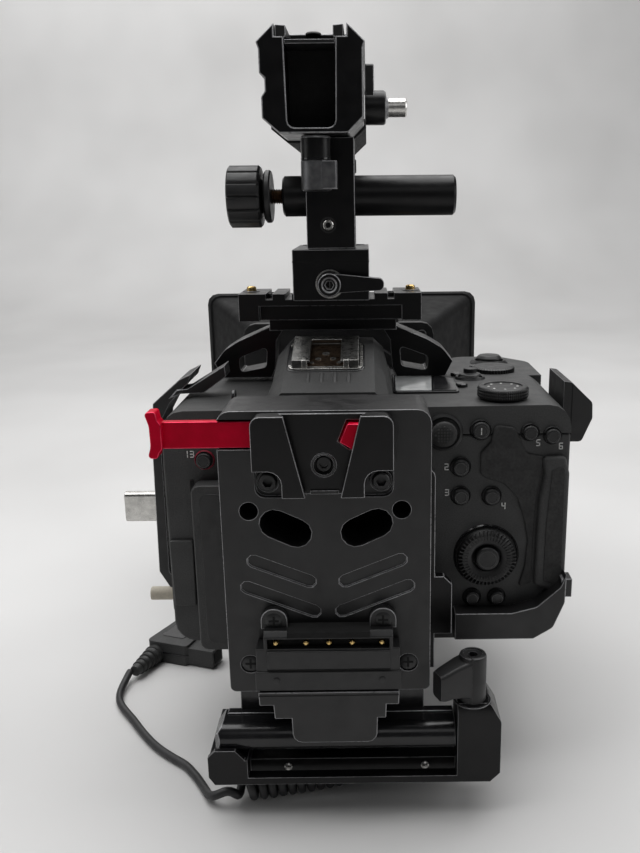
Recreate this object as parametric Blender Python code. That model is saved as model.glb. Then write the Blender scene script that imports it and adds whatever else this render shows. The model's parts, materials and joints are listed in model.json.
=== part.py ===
"""Cinema camera rig: a hybrid camera in a cage, with a battery plate, a top handle and a matte box.

Every size below is in millimetres, in one frame: X to the camera's right, Y forward along the
lens, Z up. The origin is the middle of the quick-release plate's underside.
"""
import math

import bmesh
import bpy
from mathutils import Matrix, Vector

MM = 0.001
GAP = 0.3  # clearance between neighbouring pieces
KEY_TRAVEL = 0.8  # how far a button stands clear of the face that it is pressed towards

# Quick-release plate and base clamp
QR_WIDTH, QR_LENGTH, QR_HEIGHT = 38.0, 90.0, 12.7
BASE_LEFT, BASE_RIGHT = -41.0, 58.2
BASE_BOTTOM, BASE_TOP = 13.0, 42.0
BASE_REAR, BASE_CROSS = -82.0, -50.0
BAR_LEFT, BAR_RIGHT = -39.0, 43.2
BAR_UNDER, BAR_TOP, BAR_REAR, BAR_FRONT = 22.8, 33.0, -80.0, -67.5
BAR_RADIUS = (BAR_TOP - BAR_UNDER) / 2
LEVER_AXIS = (48.6, -77.6)

# Battery plate
PLATE_LEFT, PLATE_RIGHT = -32.2, 34.2
PLATE_BOTTOM, PLATE_TOP = 47.5, 143.5
PLATE_REAR, PLATE_FRONT = -80.0, -58.3
SLIDE_BOTTOM, SLIDE_TOP = 131.3, 140.7
RECEPTACLE_REAR = -86.0

# Camera body
BODY_LEFT, BODY_RIGHT = -57.7, 85.4
BODY_BOTTOM, BODY_TOP = 47.5, 136.5
BODY_REAR, BODY_SPLIT, BODY_FRONT = -46.0, -18.0, 12.0
TOP_SPLIT = 126.0
WALL = 3.0
GRIP_LEFT, GRIP_FRONT = 46.0, 54.0
LENS_AXIS_Z = 96.0
HUMP_SLOPE = math.atan2(5.6, 18.0)

# Lens and matte box
BARREL_RADIUS = 38.5
RING_SEAT = 35.0
FRAME_REAR, FRAME_FRONT = 92.0, 97.0
FRAME_HALF_WIDTH = 47.6
FRAME_BOTTOM, FRAME_TOP = 45.0, 147.0
HOOD_HALF_WIDTH, HOOD_BOTTOM, HOOD_TOP, HOOD_FRONT = 75.5, 36.0, 156.5, 150.0

# Cage, rail, handle
CAGE_DECK_BOTTOM, CAGE_DECK_TOP = 156.3, 160.5
CAGE_FLOOR_LOW = BASE_TOP + GAP
CAGE_INNER = BODY_RIGHT + 0.5
CAGE_OUTER = CAGE_INNER + 1.0
RAIL_LEFT, RAIL_RIGHT = -34.8, 35.5
RAIL_REAR, RAIL_FRONT = -4.0, 18.0
RAIL_BOTTOM, RAIL_TOP = CAGE_DECK_TOP + GAP, 171.3
PIN_PLACES = {"rail_pin_left": -31.0, "rail_pin_right": 31.7}
CLAMP_LEFT, CLAMP_RIGHT, CLAMP_TOP = -12.8, 15.5, 188.3
CLAMP_REAR, CLAMP_FRONT = -14.0, 26.0
ARM_LEFT, ARM_RIGHT, ARM_REAR, ARM_FRONT = -7.1, 10.6, -14.0, 8.0
ROD_AXIS_Y, ROD_AXIS_Z, ROD_RADIUS = -4.0, 207.3, 7.3
ROD_LEFT, ROD_RIGHT = -16.0, 47.8
HANDLE_REAR, HANDLE_FRONT = -28.0, 100.0
HANDLE_BOTTOM = 227.7

# Power cord, lying on the surface that the rig stands on
CORD_RADIUS = 1.55
CURL_RADIUS = 5.4
PLUG_CORNER = (-89.2, 24.4)
PLUG_ANGLE = math.radians(-19.0)
PLUG_SIZE = (21.0, 31.0, 10.2)
BOOT_OFFSET, BOOT_LENGTH, BOOT_HEIGHT = 4.5, 17.0, 4.4
LEAD_ROUTE = [
    (-92.6, 6.9, 4.3), (-93.3, 1.0, 3.1), (-93.6, -5.0, 2.0), (-92.6, -10.5, 1.75),
    (-90.4, -15.4, 1.75), (-87.2, -20.0, 1.75), (-82.5, -26.2, 1.75), (-77.6, -33.2, 1.75),
    (-72.0, -40.4, 1.75), (-66.8, -46.0, 1.75), (-60.8, -51.2, 1.75), (-54.8, -56.0, 1.75),
    (-49.6, -62.8, 1.8), (-45.6, -69.4, 2.2), (-42.6, -75.0, 3.4), (-39.8, -76.7, 5.0),
]
CURL_ROUTE = [
    (-37.6, -76.2, 5.7), (-29.0, -73.0, 5.7), (-18.0, -70.4, 5.7), (-7.0, -67.8, 5.7),
    (4.0, -64.6, 5.7), (14.0, -60.0, 5.7), (22.0, -53.0, 5.7), (26.0, -44.0, 5.7),
    (26.6, -30.0, 5.7), (26.8, -10.0, 5.7), (26.8, 10.0, 5.7), (27.6, 26.0, 5.7),
    (31.5, 39.0, 6.4), (39.0, 48.5, 10.0), (47.5, 52.0, 16.0), (54.0, 50.5, 23.5),
    (57.4, 46.4, 27.5), (58.0, 44.2, 32.5), (58.0, 44.0, 37.2),
]
GLAND_AXIS = (58.0, 44.0)

FINISHES = {
    "black_anodised": ((0.022, 0.022, 0.024), 0.42, 0.85),
    "black_plastic": ((0.030, 0.030, 0.032), 0.55, 0.0),
    "black_rubber": ((0.020, 0.020, 0.021), 0.82, 0.0),
    "red_anodised": ((0.40, 0.008, 0.03), 0.35, 0.6),
    "steel": ((0.60, 0.59, 0.57), 0.28, 1.0),
    "brass": ((0.55, 0.40, 0.16), 0.32, 1.0),
    "circuit_board": ((0.02, 0.09, 0.04), 0.5, 0.0),
    "cable_black": ((0.025, 0.025, 0.027), 0.6, 0.0),
}


# ---------------------------------------------------------------- scene and shape helpers
def clear_scene():
    """Remove whatever the file opened with."""
    for item in list(bpy.data.objects):
        bpy.data.objects.remove(item, do_unlink=True)


def finish_material(name):
    """The Principled material of one finish, made once."""
    made = bpy.data.materials.get(name)
    if made:
        return made
    colour, roughness, metallic = FINISHES[name]
    made = bpy.data.materials.new(name)
    made.use_nodes = True
    shader = made.node_tree.nodes["Principled BSDF"]
    shader.inputs["Base Color"].default_value = (*colour, 1.0)
    shader.inputs["Roughness"].default_value = roughness
    shader.inputs["Metallic"].default_value = metallic
    return made


def place(axis, across, up, along):
    """A point from the two coordinates of an outline and one along the axis."""
    if axis == "X":
        return (along, across, up)
    if axis == "Y":
        return (across, along, up)
    return (across, up, along)


def rounded(corners, default=0.0, steps=3):
    """A polygon whose corners are (a, b) or (a, b, radius), with each corner turned into an arc."""
    points = []
    count = len(corners)
    for index, corner in enumerate(corners):
        radius = corner[2] if len(corner) > 2 else default
        here = Vector(corner[:2])
        before = (Vector(corners[index - 1][:2]) - here).normalized()
        after = (Vector(corners[(index + 1) % count][:2]) - here).normalized()
        if radius <= 0:
            points.append(tuple(here))
            continue
        half = before.angle(after) / 2
        reach = radius / math.tan(half)
        centre = here + (before + after).normalized() * (radius / math.sin(half))
        first = here + before * reach - centre
        last = here + after * reach - centre
        sweep = first.angle_signed(last)
        for step in range(steps + 1):
            turn = Matrix.Rotation(-sweep * step / steps, 2)
            points.append(tuple(centre + turn @ first))
    return points


def rectangle(left, right, low, high, radius=0.0, steps=3):
    return rounded([(left, low), (right, low), (right, high), (left, high)], radius, steps)


def circle(across, up, radius, steps=24):
    turns = [2 * math.pi * step / steps for step in range(steps)]
    return [(across + radius * math.cos(t), up + radius * math.sin(t)) for t in turns]


def obround(across, up, length, width, degrees, steps=6):
    """A slot with round ends, turned by some degrees."""
    angle = math.radians(degrees)
    radius = width / 2
    reach = length / 2 - radius
    points = []
    for side, start in ((1, -math.pi / 2), (-1, math.pi / 2)):
        for step in range(steps + 1):
            t = start + math.pi * step / steps
            a = side * reach + radius * math.cos(t)
            b = radius * math.sin(t)
            points.append((across + a * math.cos(angle) - b * math.sin(angle),
                           up + a * math.sin(angle) + b * math.cos(angle)))
    return points


def prism(outline, axis, start, end, shape=None):
    """Extrude a flat outline between two places along an axis."""
    shape = shape or bmesh.new()
    low = [shape.verts.new(place(axis, a, b, start)) for a, b in outline]
    high = [shape.verts.new(place(axis, a, b, end)) for a, b in outline]
    shape.faces.new(low)
    shape.faces.new(list(reversed(high)))
    for index in range(len(outline)):
        after = (index + 1) % len(outline)
        shape.faces.new((low[index], high[index], high[after], low[after]))
    return shape


def block(low, high, shape=None):
    """A box between two corners."""
    return prism(rectangle(low[0], high[0], low[2], high[2]), "Y", low[1], high[1], shape)


def loft(rings, closed=False):
    """Skin rings of equal length; capped at both ends unless the rings close on themselves."""
    shape = bmesh.new()
    made = [[shape.verts.new(point) for point in ring] for ring in rings]
    count = len(made[0])
    spans = len(made) if closed else len(made) - 1
    for index in range(spans):
        near, far = made[index], made[(index + 1) % len(made)]
        for step in range(count):
            after = (step + 1) % count
            shape.faces.new((near[step], near[after], far[after], far[step]))
    if not closed:
        shape.faces.new(list(reversed(made[0])))
        shape.faces.new(made[-1])
    return shape


def turned(profile, axis, centre, steps=32, closed=False):
    """Revolve (radius, along) points about an axis; a closed profile makes a tube."""
    rings = []
    for radius, along in profile:
        turns = [2 * math.pi * step / steps for step in range(steps)]
        rings.append([place(axis, centre[0] + radius * math.cos(t),
                            centre[1] + radius * math.sin(t), along) for t in turns])
    return loft(rings, closed)


def lobed(radius, depth, lobes, axis, centre, start, end, steps=4):
    """A knob or dial whose edge carries rounded lobes."""
    outline = []
    for step in range(lobes * steps):
        t = 2 * math.pi * step / (lobes * steps)
        reach = radius - depth * (0.5 - 0.5 * math.cos(lobes * t))
        outline.append((centre[0] + reach * math.cos(t), centre[1] + reach * math.sin(t)))
    return prism(outline, axis, start, end)


def to_object(name, shape, origin=(0, 0, 0)):
    """Turn a millimetre bmesh into an object in metres, with its origin at a chosen point."""
    bmesh.ops.recalc_face_normals(shape, faces=shape.faces)
    shift = Matrix.Translation(-Vector(origin))
    bmesh.ops.transform(shape, matrix=Matrix.Scale(MM, 4) @ shift, verts=shape.verts)
    mesh = bpy.data.meshes.new(name)
    shape.to_mesh(mesh)
    shape.free()
    made = bpy.data.objects.new(name, mesh)
    made.location = Vector(origin) * MM
    bpy.context.collection.objects.link(made)
    return made


def shade(thing, finish):
    """Give a piece its finish, smooth where it is round."""
    thing.data.materials.append(finish_material(finish))
    thing.data.shade_smooth()
    thing.data.set_sharp_from_angle(angle=math.radians(35))


def combine(thing, shape, operation):
    """Add a shape to a piece, or cut it away, with an exact Boolean."""
    helper = to_object(f"{thing.name}_{operation.lower()}_{len(thing.modifiers)}", shape)
    helper.hide_render = True
    helper.display_type = "WIRE"
    modifier = thing.modifiers.new(operation.title(), "BOOLEAN")
    modifier.operation = operation
    modifier.solver = "EXACT"
    modifier.object = helper


def piece(name, shape, finish, add=(), cut=(), origin=(0, 0, 0)):
    """One named sub-part: a base shape, what is added to it, and what is cut away."""
    thing = to_object(name, shape, origin)
    shade(thing, finish)
    for extra in add:
        combine(thing, extra, "UNION")
    for hole in cut:
        combine(thing, hole, "DIFFERENCE")
    return thing


# ---------------------------------------------------------------- base
def make_base():
    half_width, half_length = QR_WIDTH / 2, QR_LENGTH / 2
    dovetail = [(-half_width, 0), (half_width, 0), (half_width, 4), (half_width - 4, 8),
                (half_width - 4, QR_HEIGHT), (4 - half_width, QR_HEIGHT), (4 - half_width, 8),
                (-half_width, 4)]
    piece("quick_release_plate", prism(dovetail, "Y", -half_length, half_length), "black_anodised")

    jaw_left = [(BASE_LEFT, BASE_BOTTOM + 3), (BASE_LEFT + 2, BASE_BOTTOM), (-27.6, BASE_BOTTOM),
                (-27.6, 22.4), (BASE_LEFT, 22.4)]
    ledge = [(BASE_LEFT, 20), (-28.6, 20), (-28.6, 22.6), (-31.6, 26.1), (-38.6, 26.1),
             (BASE_LEFT, 23.6)]
    jaw_right = rounded([(43.5, BASE_BOTTOM), (54.9, BASE_BOTTOM), (BASE_RIGHT, 16.4),
                         (BASE_RIGHT, 36.0, 3), (54.6, BASE_TOP, 2), (43.5, BASE_TOP)])
    lip = block((BASE_LEFT + 4, BASE_REAR, BASE_BOTTOM), (46, BASE_REAR + 4, BASE_BOTTOM + 2.6))
    cross = block((BASE_LEFT + 4, BASE_CROSS - 25, BASE_BOTTOM), (50, BASE_CROSS, 18))
    web = block((-22, BASE_CROSS - 4, BASE_BOTTOM), (22, 50, 18.0))
    shoe_pocket = block((43.0, -77.0, 25.0), (49.0, -69.0, 32.6))
    shoulder = prism([(-82.5, 37.2), (-82.5, 42.5), (-79.8, 42.5)], "X", 43, 59)
    piece("clamp_base", prism(jaw_left, "Y", BASE_REAR, BASE_CROSS - 1), "black_anodised",
          add=[lip, cross, prism(ledge, "Y", BASE_REAR, BAR_REAR - GAP),
               prism(jaw_right, "Y", BASE_REAR, BASE_CROSS - 16), web],
          cut=[shoe_pocket, shoulder])

    middle = BAR_TOP - BAR_RADIUS
    nose = [(BAR_REAR + BAR_RADIUS - BAR_RADIUS * math.sin(math.pi * s / 12),
             middle + BAR_RADIUS * math.cos(math.pi * s / 12)) for s in range(13)]
    bar = prism(nose + [(BAR_FRONT, BAR_UNDER), (BAR_FRONT, BAR_TOP)], "X", BAR_LEFT, BAR_RIGHT)
    deck = block((-31, BAR_FRONT - 1, BAR_TOP - 1), (33, 50, BASE_TOP))
    foot = block((-20, -30, 18.3), (20, 46, 34))
    end_corner = prism([(-40, -81), (-36.5, -81), (-40, -75.5)], "Z", 22, 34)
    top_corner = prism([(-40, 28), (-40, 34), (-35.8, 34)], "Y", -81, BAR_FRONT + 1)
    piece("dovetail_plate", bar, "black_anodised", add=[deck, foot], cut=[end_corner, top_corner])

    x, y = LEVER_AXIS
    hub = turned([(4.6, 42.9), (4.6, 58.6), (3.8, 59.5)], "Z", LEVER_AXIS, 24)
    side = [(x + 1, 44.6), (x + 1, 58.0), (x - 5, 57.4), (36.2, 54.4), (36.2, 45.4), (x - 6, 46.6)]
    arm = prism(side, "Y", y - 3.3, y + 3.3)
    bmesh.ops.rotate(arm, verts=arm.verts, cent=(x, y, 0), matrix=Matrix.Rotation(math.radians(24), 3, "Z"))
    piece("clamp_lever", hub, "black_anodised", add=[arm], origin=(x, y, 43))
    piece("clamp_shoe", block((43.5, -76.0, 26.0), (46.8, -70.0, 31.5)), "steel",
          origin=(45.0, -73.0, 28.8))


# ---------------------------------------------------------------- battery plate
def make_battery_plate():
    body = rounded([(PLATE_LEFT, PLATE_BOTTOM, 2), (PLATE_RIGHT, PLATE_BOTTOM, 2),
                    (PLATE_RIGHT, PLATE_TOP, 4.5), (PLATE_LEFT, PLATE_TOP, 4.5)], steps=4)
    face, back = PLATE_REAR, PLATE_FRONT
    through = bmesh.new()
    for side, across in ((-1, -23.3), (1, 24.9)):
        prism(circle(across, 111.1, 2.95, 20), "Y", face - 1, back + 1, through)
        prism(obround(0.95 + side * 12.85, 105.2, 17.2, 9.4, side * 25, 6), "Y", face - 1, back + 1,
              through)
    shallow = bmesh.new()
    for side in (-1, 1):
        for height, length, reach in ((90.6, 23.5, 14.6), (80.8, 27.5, 15.2)):
            outline = obround(1.0 + side * reach, height, length, 4.2, side * 22, 4)
            prism(outline, "Y", face - 1, face + 0.9, shallow)
        prism(circle(0.9 + side * 26.0, 57.6, 3.2, 16), "Y", face - 1, face + 1.2, shallow)
        inner, outer = 0.65 + side * 12.0, 0.65 + side * 21.6
        corner = [(inner, 127), (inner, 115.6), (outer, 115.6, 3), (outer, 127)]
        prism(rounded(corner, steps=3), "Y", face - 1, face + 2.0, shallow)
    slide_groove = block((PLATE_LEFT - 1, face - 1, SLIDE_BOTTOM), (18, face + 3.6, SLIDE_TOP))
    electronics = block((-26, face + 4, 53), (28, back + 1, 97))
    piece("battery_plate", prism(body, "Y", face, back), "black_anodised",
          cut=[through, shallow, slide_groove, electronics])

    make_receptacle()
    make_release_lever()

    low, step, top = 52.0, 67.0, 72.6
    side = [(face - GAP, low), (-86.6, low), (-87.2, 53.5), (-87.2, step), (face - GAP, step)]
    shelf = [(face - GAP, step - 0.5), (-87.2, step - 0.5), (-87.2, 71.0), (-85.4, top),
             (face - GAP, top)]
    pin_strip = block((-18.4, -89, 66.9), (20.6, -84.0, 70.3))
    piece("connector_block", prism(side, "X", -22.2, 24.0), "black_plastic",
          add=[prism(shelf, "X", -19.6, 21.8)], cut=[pin_strip])

    apron = rounded([(-21.9, 51.6), (-21.7, 46.9), (-17.2, 46.9), (-16.9, 42.0), (-11.4, 42.0),
                     (-11.2, 33.0, 3.2), (16.4, 33.0, 3.2), (16.7, 42.0), (19.4, 42.0), (19.6, 46.9),
                     (23.6, 46.9), (23.8, 51.6)])
    tab = block((-20, -84.8, 48.2), (22, face - GAP, 51.4))
    piece("lower_cover", prism(apron, "Y", -87.6, -84.2), "black_anodised", add=[tab])

    upright = prism(rounded([(-20, 42.6), (37.3, 42.6), (37.3, 117.5, 3), (-20, 117.5, 3)]), "Y",
                    back + GAP, -54.4)
    foot = block((-31.5, -64.5, 42.3), (34, back + 1.0, 46.2))
    side_arm = prism([(36, 56), (43.4, 56), (43.4, 75), (40.5, 78), (36, 78)], "Y", back + GAP, -54.4)
    piece("mounting_bracket", upright, "black_anodised", add=[foot, side_arm])


def make_receptacle():
    """The V socket: two raised ears beside an undercut V, with its lower outer corners cut away."""
    top, notch, low = 143.0, 125.8, 117.2
    middle, half, foot = 0.65, 21.65, 12.7
    outline = rounded([(middle - half, top, 3), (middle - half, notch), (middle - foot, notch, 4.2),
                       (middle - foot, low), (middle + foot, low), (middle + foot, notch, 4.2),
                       (middle + half, notch), (middle + half, top, 3)], steps=4)
    floor, rear = -81.8, RECEPTACLE_REAR
    undercut = 1.4
    mouth = [(-11.1, top + 1), (12.5, top + 1), (5.7, low - 1), (-4.6, low - 1)]
    wide = [(a + (undercut if a > 0 else -undercut), b) for a, b in mouth]
    opening = loft([[(a, rear - 1, b) for a, b in mouth], [(a, rear + 1.2, b) for a, b in mouth],
                    [(a, floor, b) for a, b in wide]])
    latch_pocket = prism([(5.3, 134.2), (8.0, 140.9), (18.4, 140.9), (18.4, 131.6), (8.8, 131.6)], "Y",
                         rear + 1.2, PLATE_REAR + 1)
    screw_hole = prism(circle(0.8, 126.6, 3.8, 16), "Y", floor - 2, PLATE_REAR + 1)
    piece("wedge_receptacle", prism(outline, "Y", rear, PLATE_REAR - GAP), "black_anodised",
          cut=[opening, latch_pocket, screw_hole])


def make_release_lever():
    """The red slide: a bar in the plate's groove, a flared thumb end, and the latch wedge."""
    bar = block((-51, PLATE_REAR + GAP, SLIDE_BOTTOM + 0.5), (12.2, PLATE_REAR + 3.3, SLIDE_TOP - 0.5))
    thumb = rounded([(-53.4, 143.9, 0.8), (-50.0, 144.1, 0.8), (-49.7, 141.6, 1), (-48.8, 139.6),
                     (-48.8, 132.4), (-49.7, 130.8, 1), (-50.1, 129.2, 0.8), (-53.2, 129.2, 0.8),
                     (-52.3, 136.5)], steps=2)
    wedge = [(8.4, 140.2), (13.4, 140.2), (13.4, 132.4), (9.4, 132.4), (5.9, 134.5)]
    latch = prism(wedge, "Y", -84.4, PLATE_REAR + 1)
    piece("release_lever", bar, "red_anodised", add=[prism(thumb, "Y", -82.0, -76.4), latch],
          origin=(-20, PLATE_REAR + 1.8, 136.0))


# ---------------------------------------------------------------- camera
def body_outline(low, high, inset=0.0, corner_left=8.0, corner_right=17.0):
    """The body from behind, between two heights; the lower corners are round."""
    return rounded([(BODY_LEFT + inset, low + inset, corner_left), (BODY_RIGHT - inset, low + inset,
                    corner_right), (BODY_RIGHT - inset, high), (BODY_LEFT + inset, high)], steps=4)


def grip_outline():
    return rounded([(GRIP_LEFT, BODY_FRONT - 3), (BODY_RIGHT, BODY_FRONT - 3), (BODY_RIGHT, 40, 10),
                    (74, GRIP_FRONT, 8), (54, GRIP_FRONT, 8), (GRIP_LEFT, 38, 6)], steps=3)


def make_camera_body():
    seam = BODY_SPLIT + GAP
    rear_hollow = prism(body_outline(BODY_BOTTOM, TOP_SPLIT + 1, WALL, 6, 13), "Y", BODY_REAR + WALL,
                        BODY_SPLIT + 1)
    piece("body_rear_cover", prism(body_outline(BODY_BOTTOM, TOP_SPLIT), "Y", BODY_REAR, BODY_SPLIT),
          "black_plastic", cut=[rear_hollow])

    front_hollow = prism(body_outline(BODY_BOTTOM, TOP_SPLIT + 1, WALL, 6, 13), "Y", seam - 1,
                         BODY_FRONT - WALL)
    grip_hollow = block((52, BODY_FRONT - 8, 55), (78, GRIP_FRONT - 5, TOP_SPLIT + 1))
    lens_hole = prism(circle(0, LENS_AXIS_Z, 25.5, 32), "Y", BODY_FRONT - 5, BODY_FRONT + 1)
    grip_corner = prism([(73.6, 46.5), (86, 46.5), (86, 58.9)], "Y", BODY_SPLIT, GRIP_FRONT + 1)
    piece("body_front_cover", prism(body_outline(BODY_BOTTOM, TOP_SPLIT), "Y", seam, BODY_FRONT),
          "black_plastic", add=[prism(grip_outline(), "Z", BODY_BOTTOM + 0.5, TOP_SPLIT - 0.01)],
          cut=[front_hollow, grip_hollow, lens_hole, grip_corner])

    make_top_cover()
    piece("sensor_unit", block((-21, -16, 80), (21, -7, 112)), "circuit_board")
    piece("power_coupler", block((54, 14, 57), (76, 46, 104)), "black_plastic")
    x, y = GLAND_AXIS
    piece("cord_gland", turned([(4.6, BODY_BOTTOM + 0.2), (4.6, 45.4), (3.3, 38.2)], "Z", (x, y), 16),
          "black_rubber")


def make_top_cover():
    """Shoulders with round ends, the viewfinder hump, and the top of the grip."""
    low = TOP_SPLIT + GAP
    shoulder = rounded([(BODY_LEFT, low), (BODY_RIGHT, low), (BODY_RIGHT, BODY_TOP, 8),
                        (BODY_LEFT, BODY_TOP - 1, 8)], steps=4)
    sections = []
    for y, top, spread in ((BODY_REAR + 0.5, 141.5, 1.0), (-30, 147.0, 1.0), (-12, 152.6, 1.0),
                           (10, 152.2, 0.98), (22, 149.5, 0.92), (27, 143.0, 0.84)):
        half_top, half_low = 18.6 * spread, 24.0 * spread
        sections.append([(0.8 - half_low, y, 134), (0.8 - half_top - 1.6, y, top - 4),
                         (0.8 - half_top + 2.4, y, top), (0.8 + half_top - 2.4, y, top),
                         (0.8 + half_top + 1.6, y, top - 4), (0.8 + half_low, y, 134)])
    shoulder_hollow = block((BODY_LEFT + 6, BODY_REAR + WALL, low - 1),
                            (BODY_RIGHT - 6, BODY_FRONT - WALL, BODY_TOP - WALL))
    hump_hollow = block((-14, -24, low - 2), (15.6, BODY_FRONT - 5, 147))
    piece("body_top_cover", prism(shoulder, "Y", BODY_REAR, BODY_FRONT), "black_plastic",
          add=[loft(sections), prism(grip_outline(), "Z", low + 0.01, BODY_TOP - 0.5)],
          cut=[shoulder_hollow, hump_hollow])


def make_controls():
    """Everything on the rear and top of the camera that a finger moves."""
    face = BODY_REAR - GAP
    key_face = face - KEY_TRAVEL
    x, z = 56.7, 80.8
    wheel = [(5.0, face), (11.4, face), (11.4, face - 2.2), (9.6, face - 3.4), (5.4, face - 3.0),
             (5.0, face - 2.6)]
    piece("set_wheel", turned(wheel, "Y", (x, z), 36, closed=True), "black_plastic",
          origin=(x, face - 1.5, z))
    piece("set_button", turned([(4.5, key_face), (4.5, face - 3.4), (3.9, face - 4.0)], "Y", (x, z), 20),
          "black_plastic", origin=(x, key_face, z))
    piece("joystick", turned([(3.0, key_face), (3.0, face - 1.4), (4.6, face - 1.8), (4.4, face - 3.2),
                              (2.4, face - 4.4)], "Y", (40.8, 127.0), 20), "black_rubber",
          origin=(40.8, key_face, 127.0))
    buttons = {"button_focus": (53.7, 127.8, 3.2), "button_iris": (71.0, 126.8, 2.7),
               "button_lock": (78.8, 125.6, 2.7), "button_magnify": (46.9, 114.4, 3.1),
               "button_display": (47.1, 103.7, 3.0), "button_menu": (58.1, 103.5, 3.0),
               "button_media": (51.8, 64.6, 2.8), "button_cancel": (60.9, 64.5, 2.8),
               "button_rate": (-42.9, 118.0, 2.9)}
    for name, (across, up, radius) in buttons.items():
        profile = [(radius, key_face), (radius, face - 1.6), (radius - 0.5, face - 2.1)]
        piece(name, turned(profile, "Y", (across, up), 16), "black_plastic",
              origin=(across, key_face, up))

    deck = BODY_TOP + GAP
    piece("mode_dial", lobed(9.2, 0.5, 18, "Z", (63.0, -34.0), deck, deck + 4.2), "black_plastic",
          origin=(63.0, -34.0, deck))
    key_deck = deck + KEY_TRAVEL
    record = [(4.4, key_deck), (4.4, deck + 1.4), (2.6, deck + 1.8), (2.6, deck + 3.6)]
    piece("record_button", turned(record, "Z", (55.5, 3.0), 20), "black_plastic",
          origin=(55.5, 3.0, key_deck))
    shutter = [(5.6, key_deck), (5.6, deck + 1.6), (4.4, deck + 2.8)]
    piece("shutter_button", turned(shutter, "Z", (68.0, 38.0), 20), "black_plastic",
          origin=(68.0, 38.0, key_deck))
    screen = prism(rectangle(-47.2, 33.0, 48.0, 110.8, 3), "Y", -53.4, face)
    piece("screen_panel", screen, "black_plastic")

    shoe = block((-12.8, -10.0, GAP), (11.4, 10.0, 3.7))
    slot = block((-9.3, -11.0, 1.2), (7.9, 8.0, 2.7))
    mouth = block((-6.2, -11.0, 1.9), (4.8, 7.0, 4.5))
    slope = Matrix.Translation((0, -21, 149.8)) @ Matrix.Rotation(HUMP_SLOPE, 4, "X")
    for shape in (shoe, slot, mouth):
        bmesh.ops.transform(shape, matrix=slope, verts=shape.verts)
    piece("hot_shoe", shoe, "steel", cut=[slot, mouth])


# ---------------------------------------------------------------- lens and matte box
def make_lens():
    axis = (0, LENS_AXIS_Z)
    start = BODY_FRONT + GAP
    mount = [(23, start), (31, start), (31, start + 4), (23, start + 4)]
    piece("lens_mount", turned(mount, "Y", axis, 36, closed=True), "steel")
    barrel = [(22, 17), (31, 17), (31.5, 22), (BARREL_RADIUS, 28), (BARREL_RADIUS, 40),
              (RING_SEAT, 40), (RING_SEAT, 62), (BARREL_RADIUS, 62), (BARREL_RADIUS, 66),
              (RING_SEAT, 66), (RING_SEAT, 86), (39, 86), (39, 104), (35, 104), (29, 96), (29, 60),
              (22, 44)]
    piece("lens_barrel", turned(barrel, "Y", axis, 36, closed=True), "black_plastic")
    for name, near, far, lobes in (("zoom_ring", 40, 62, 30), ("focus_ring", 66, 86, 36)):
        bore = turned([(RING_SEAT + 0.4, near - 1), (RING_SEAT + 0.4, far + 1)], "Y", axis, 36)
        piece(name, lobed(39.8, 0.8, lobes, "Y", axis, near + GAP, far - GAP), "black_rubber",
              cut=[bore], origin=(0, (near + far) / 2, LENS_AXIS_Z))


def hood_ring(y, grow):
    """The hood's rounded rectangle at one depth, moved in or out by some millimetres."""
    share = (y - FRAME_FRONT) / (HOOD_FRONT - FRAME_FRONT)
    half = FRAME_HALF_WIDTH + (HOOD_HALF_WIDTH - FRAME_HALF_WIDTH) * share + grow
    low = FRAME_BOTTOM + (HOOD_BOTTOM - FRAME_BOTTOM) * share - grow
    high = FRAME_TOP + (HOOD_TOP - FRAME_TOP) * share + grow
    return [(a, y, b) for a, b in rectangle(-half, half, low, high, 6 + grow, 3)]


def make_matte_box():
    frame = prism(rectangle(-FRAME_HALF_WIDTH, FRAME_HALF_WIDTH, FRAME_BOTTOM, FRAME_TOP, 6), "Y",
                  FRAME_REAR, FRAME_FRONT)
    collar = turned([(44, FRAME_REAR - 5), (44, FRAME_REAR + 1)], "Y", (0, LENS_AXIS_Z), 32)
    hole = turned([(39.4, FRAME_REAR - 6), (39.4, FRAME_FRONT + 1)], "Y", (0, LENS_AXIS_Z), 32)
    piece("matte_box_frame", frame, "black_plastic", add=[collar], cut=[hole])
    rear, lip = FRAME_FRONT + GAP, HOOD_FRONT - 4
    hood = loft([hood_ring(rear, -1.2), hood_ring(lip, -1.2), hood_ring(lip, 0), hood_ring(HOOD_FRONT, 0),
                 hood_ring(HOOD_FRONT, -4.0), hood_ring(rear, -3.8)], closed=True)
    piece("matte_box_hood", hood, "black_plastic")


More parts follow.
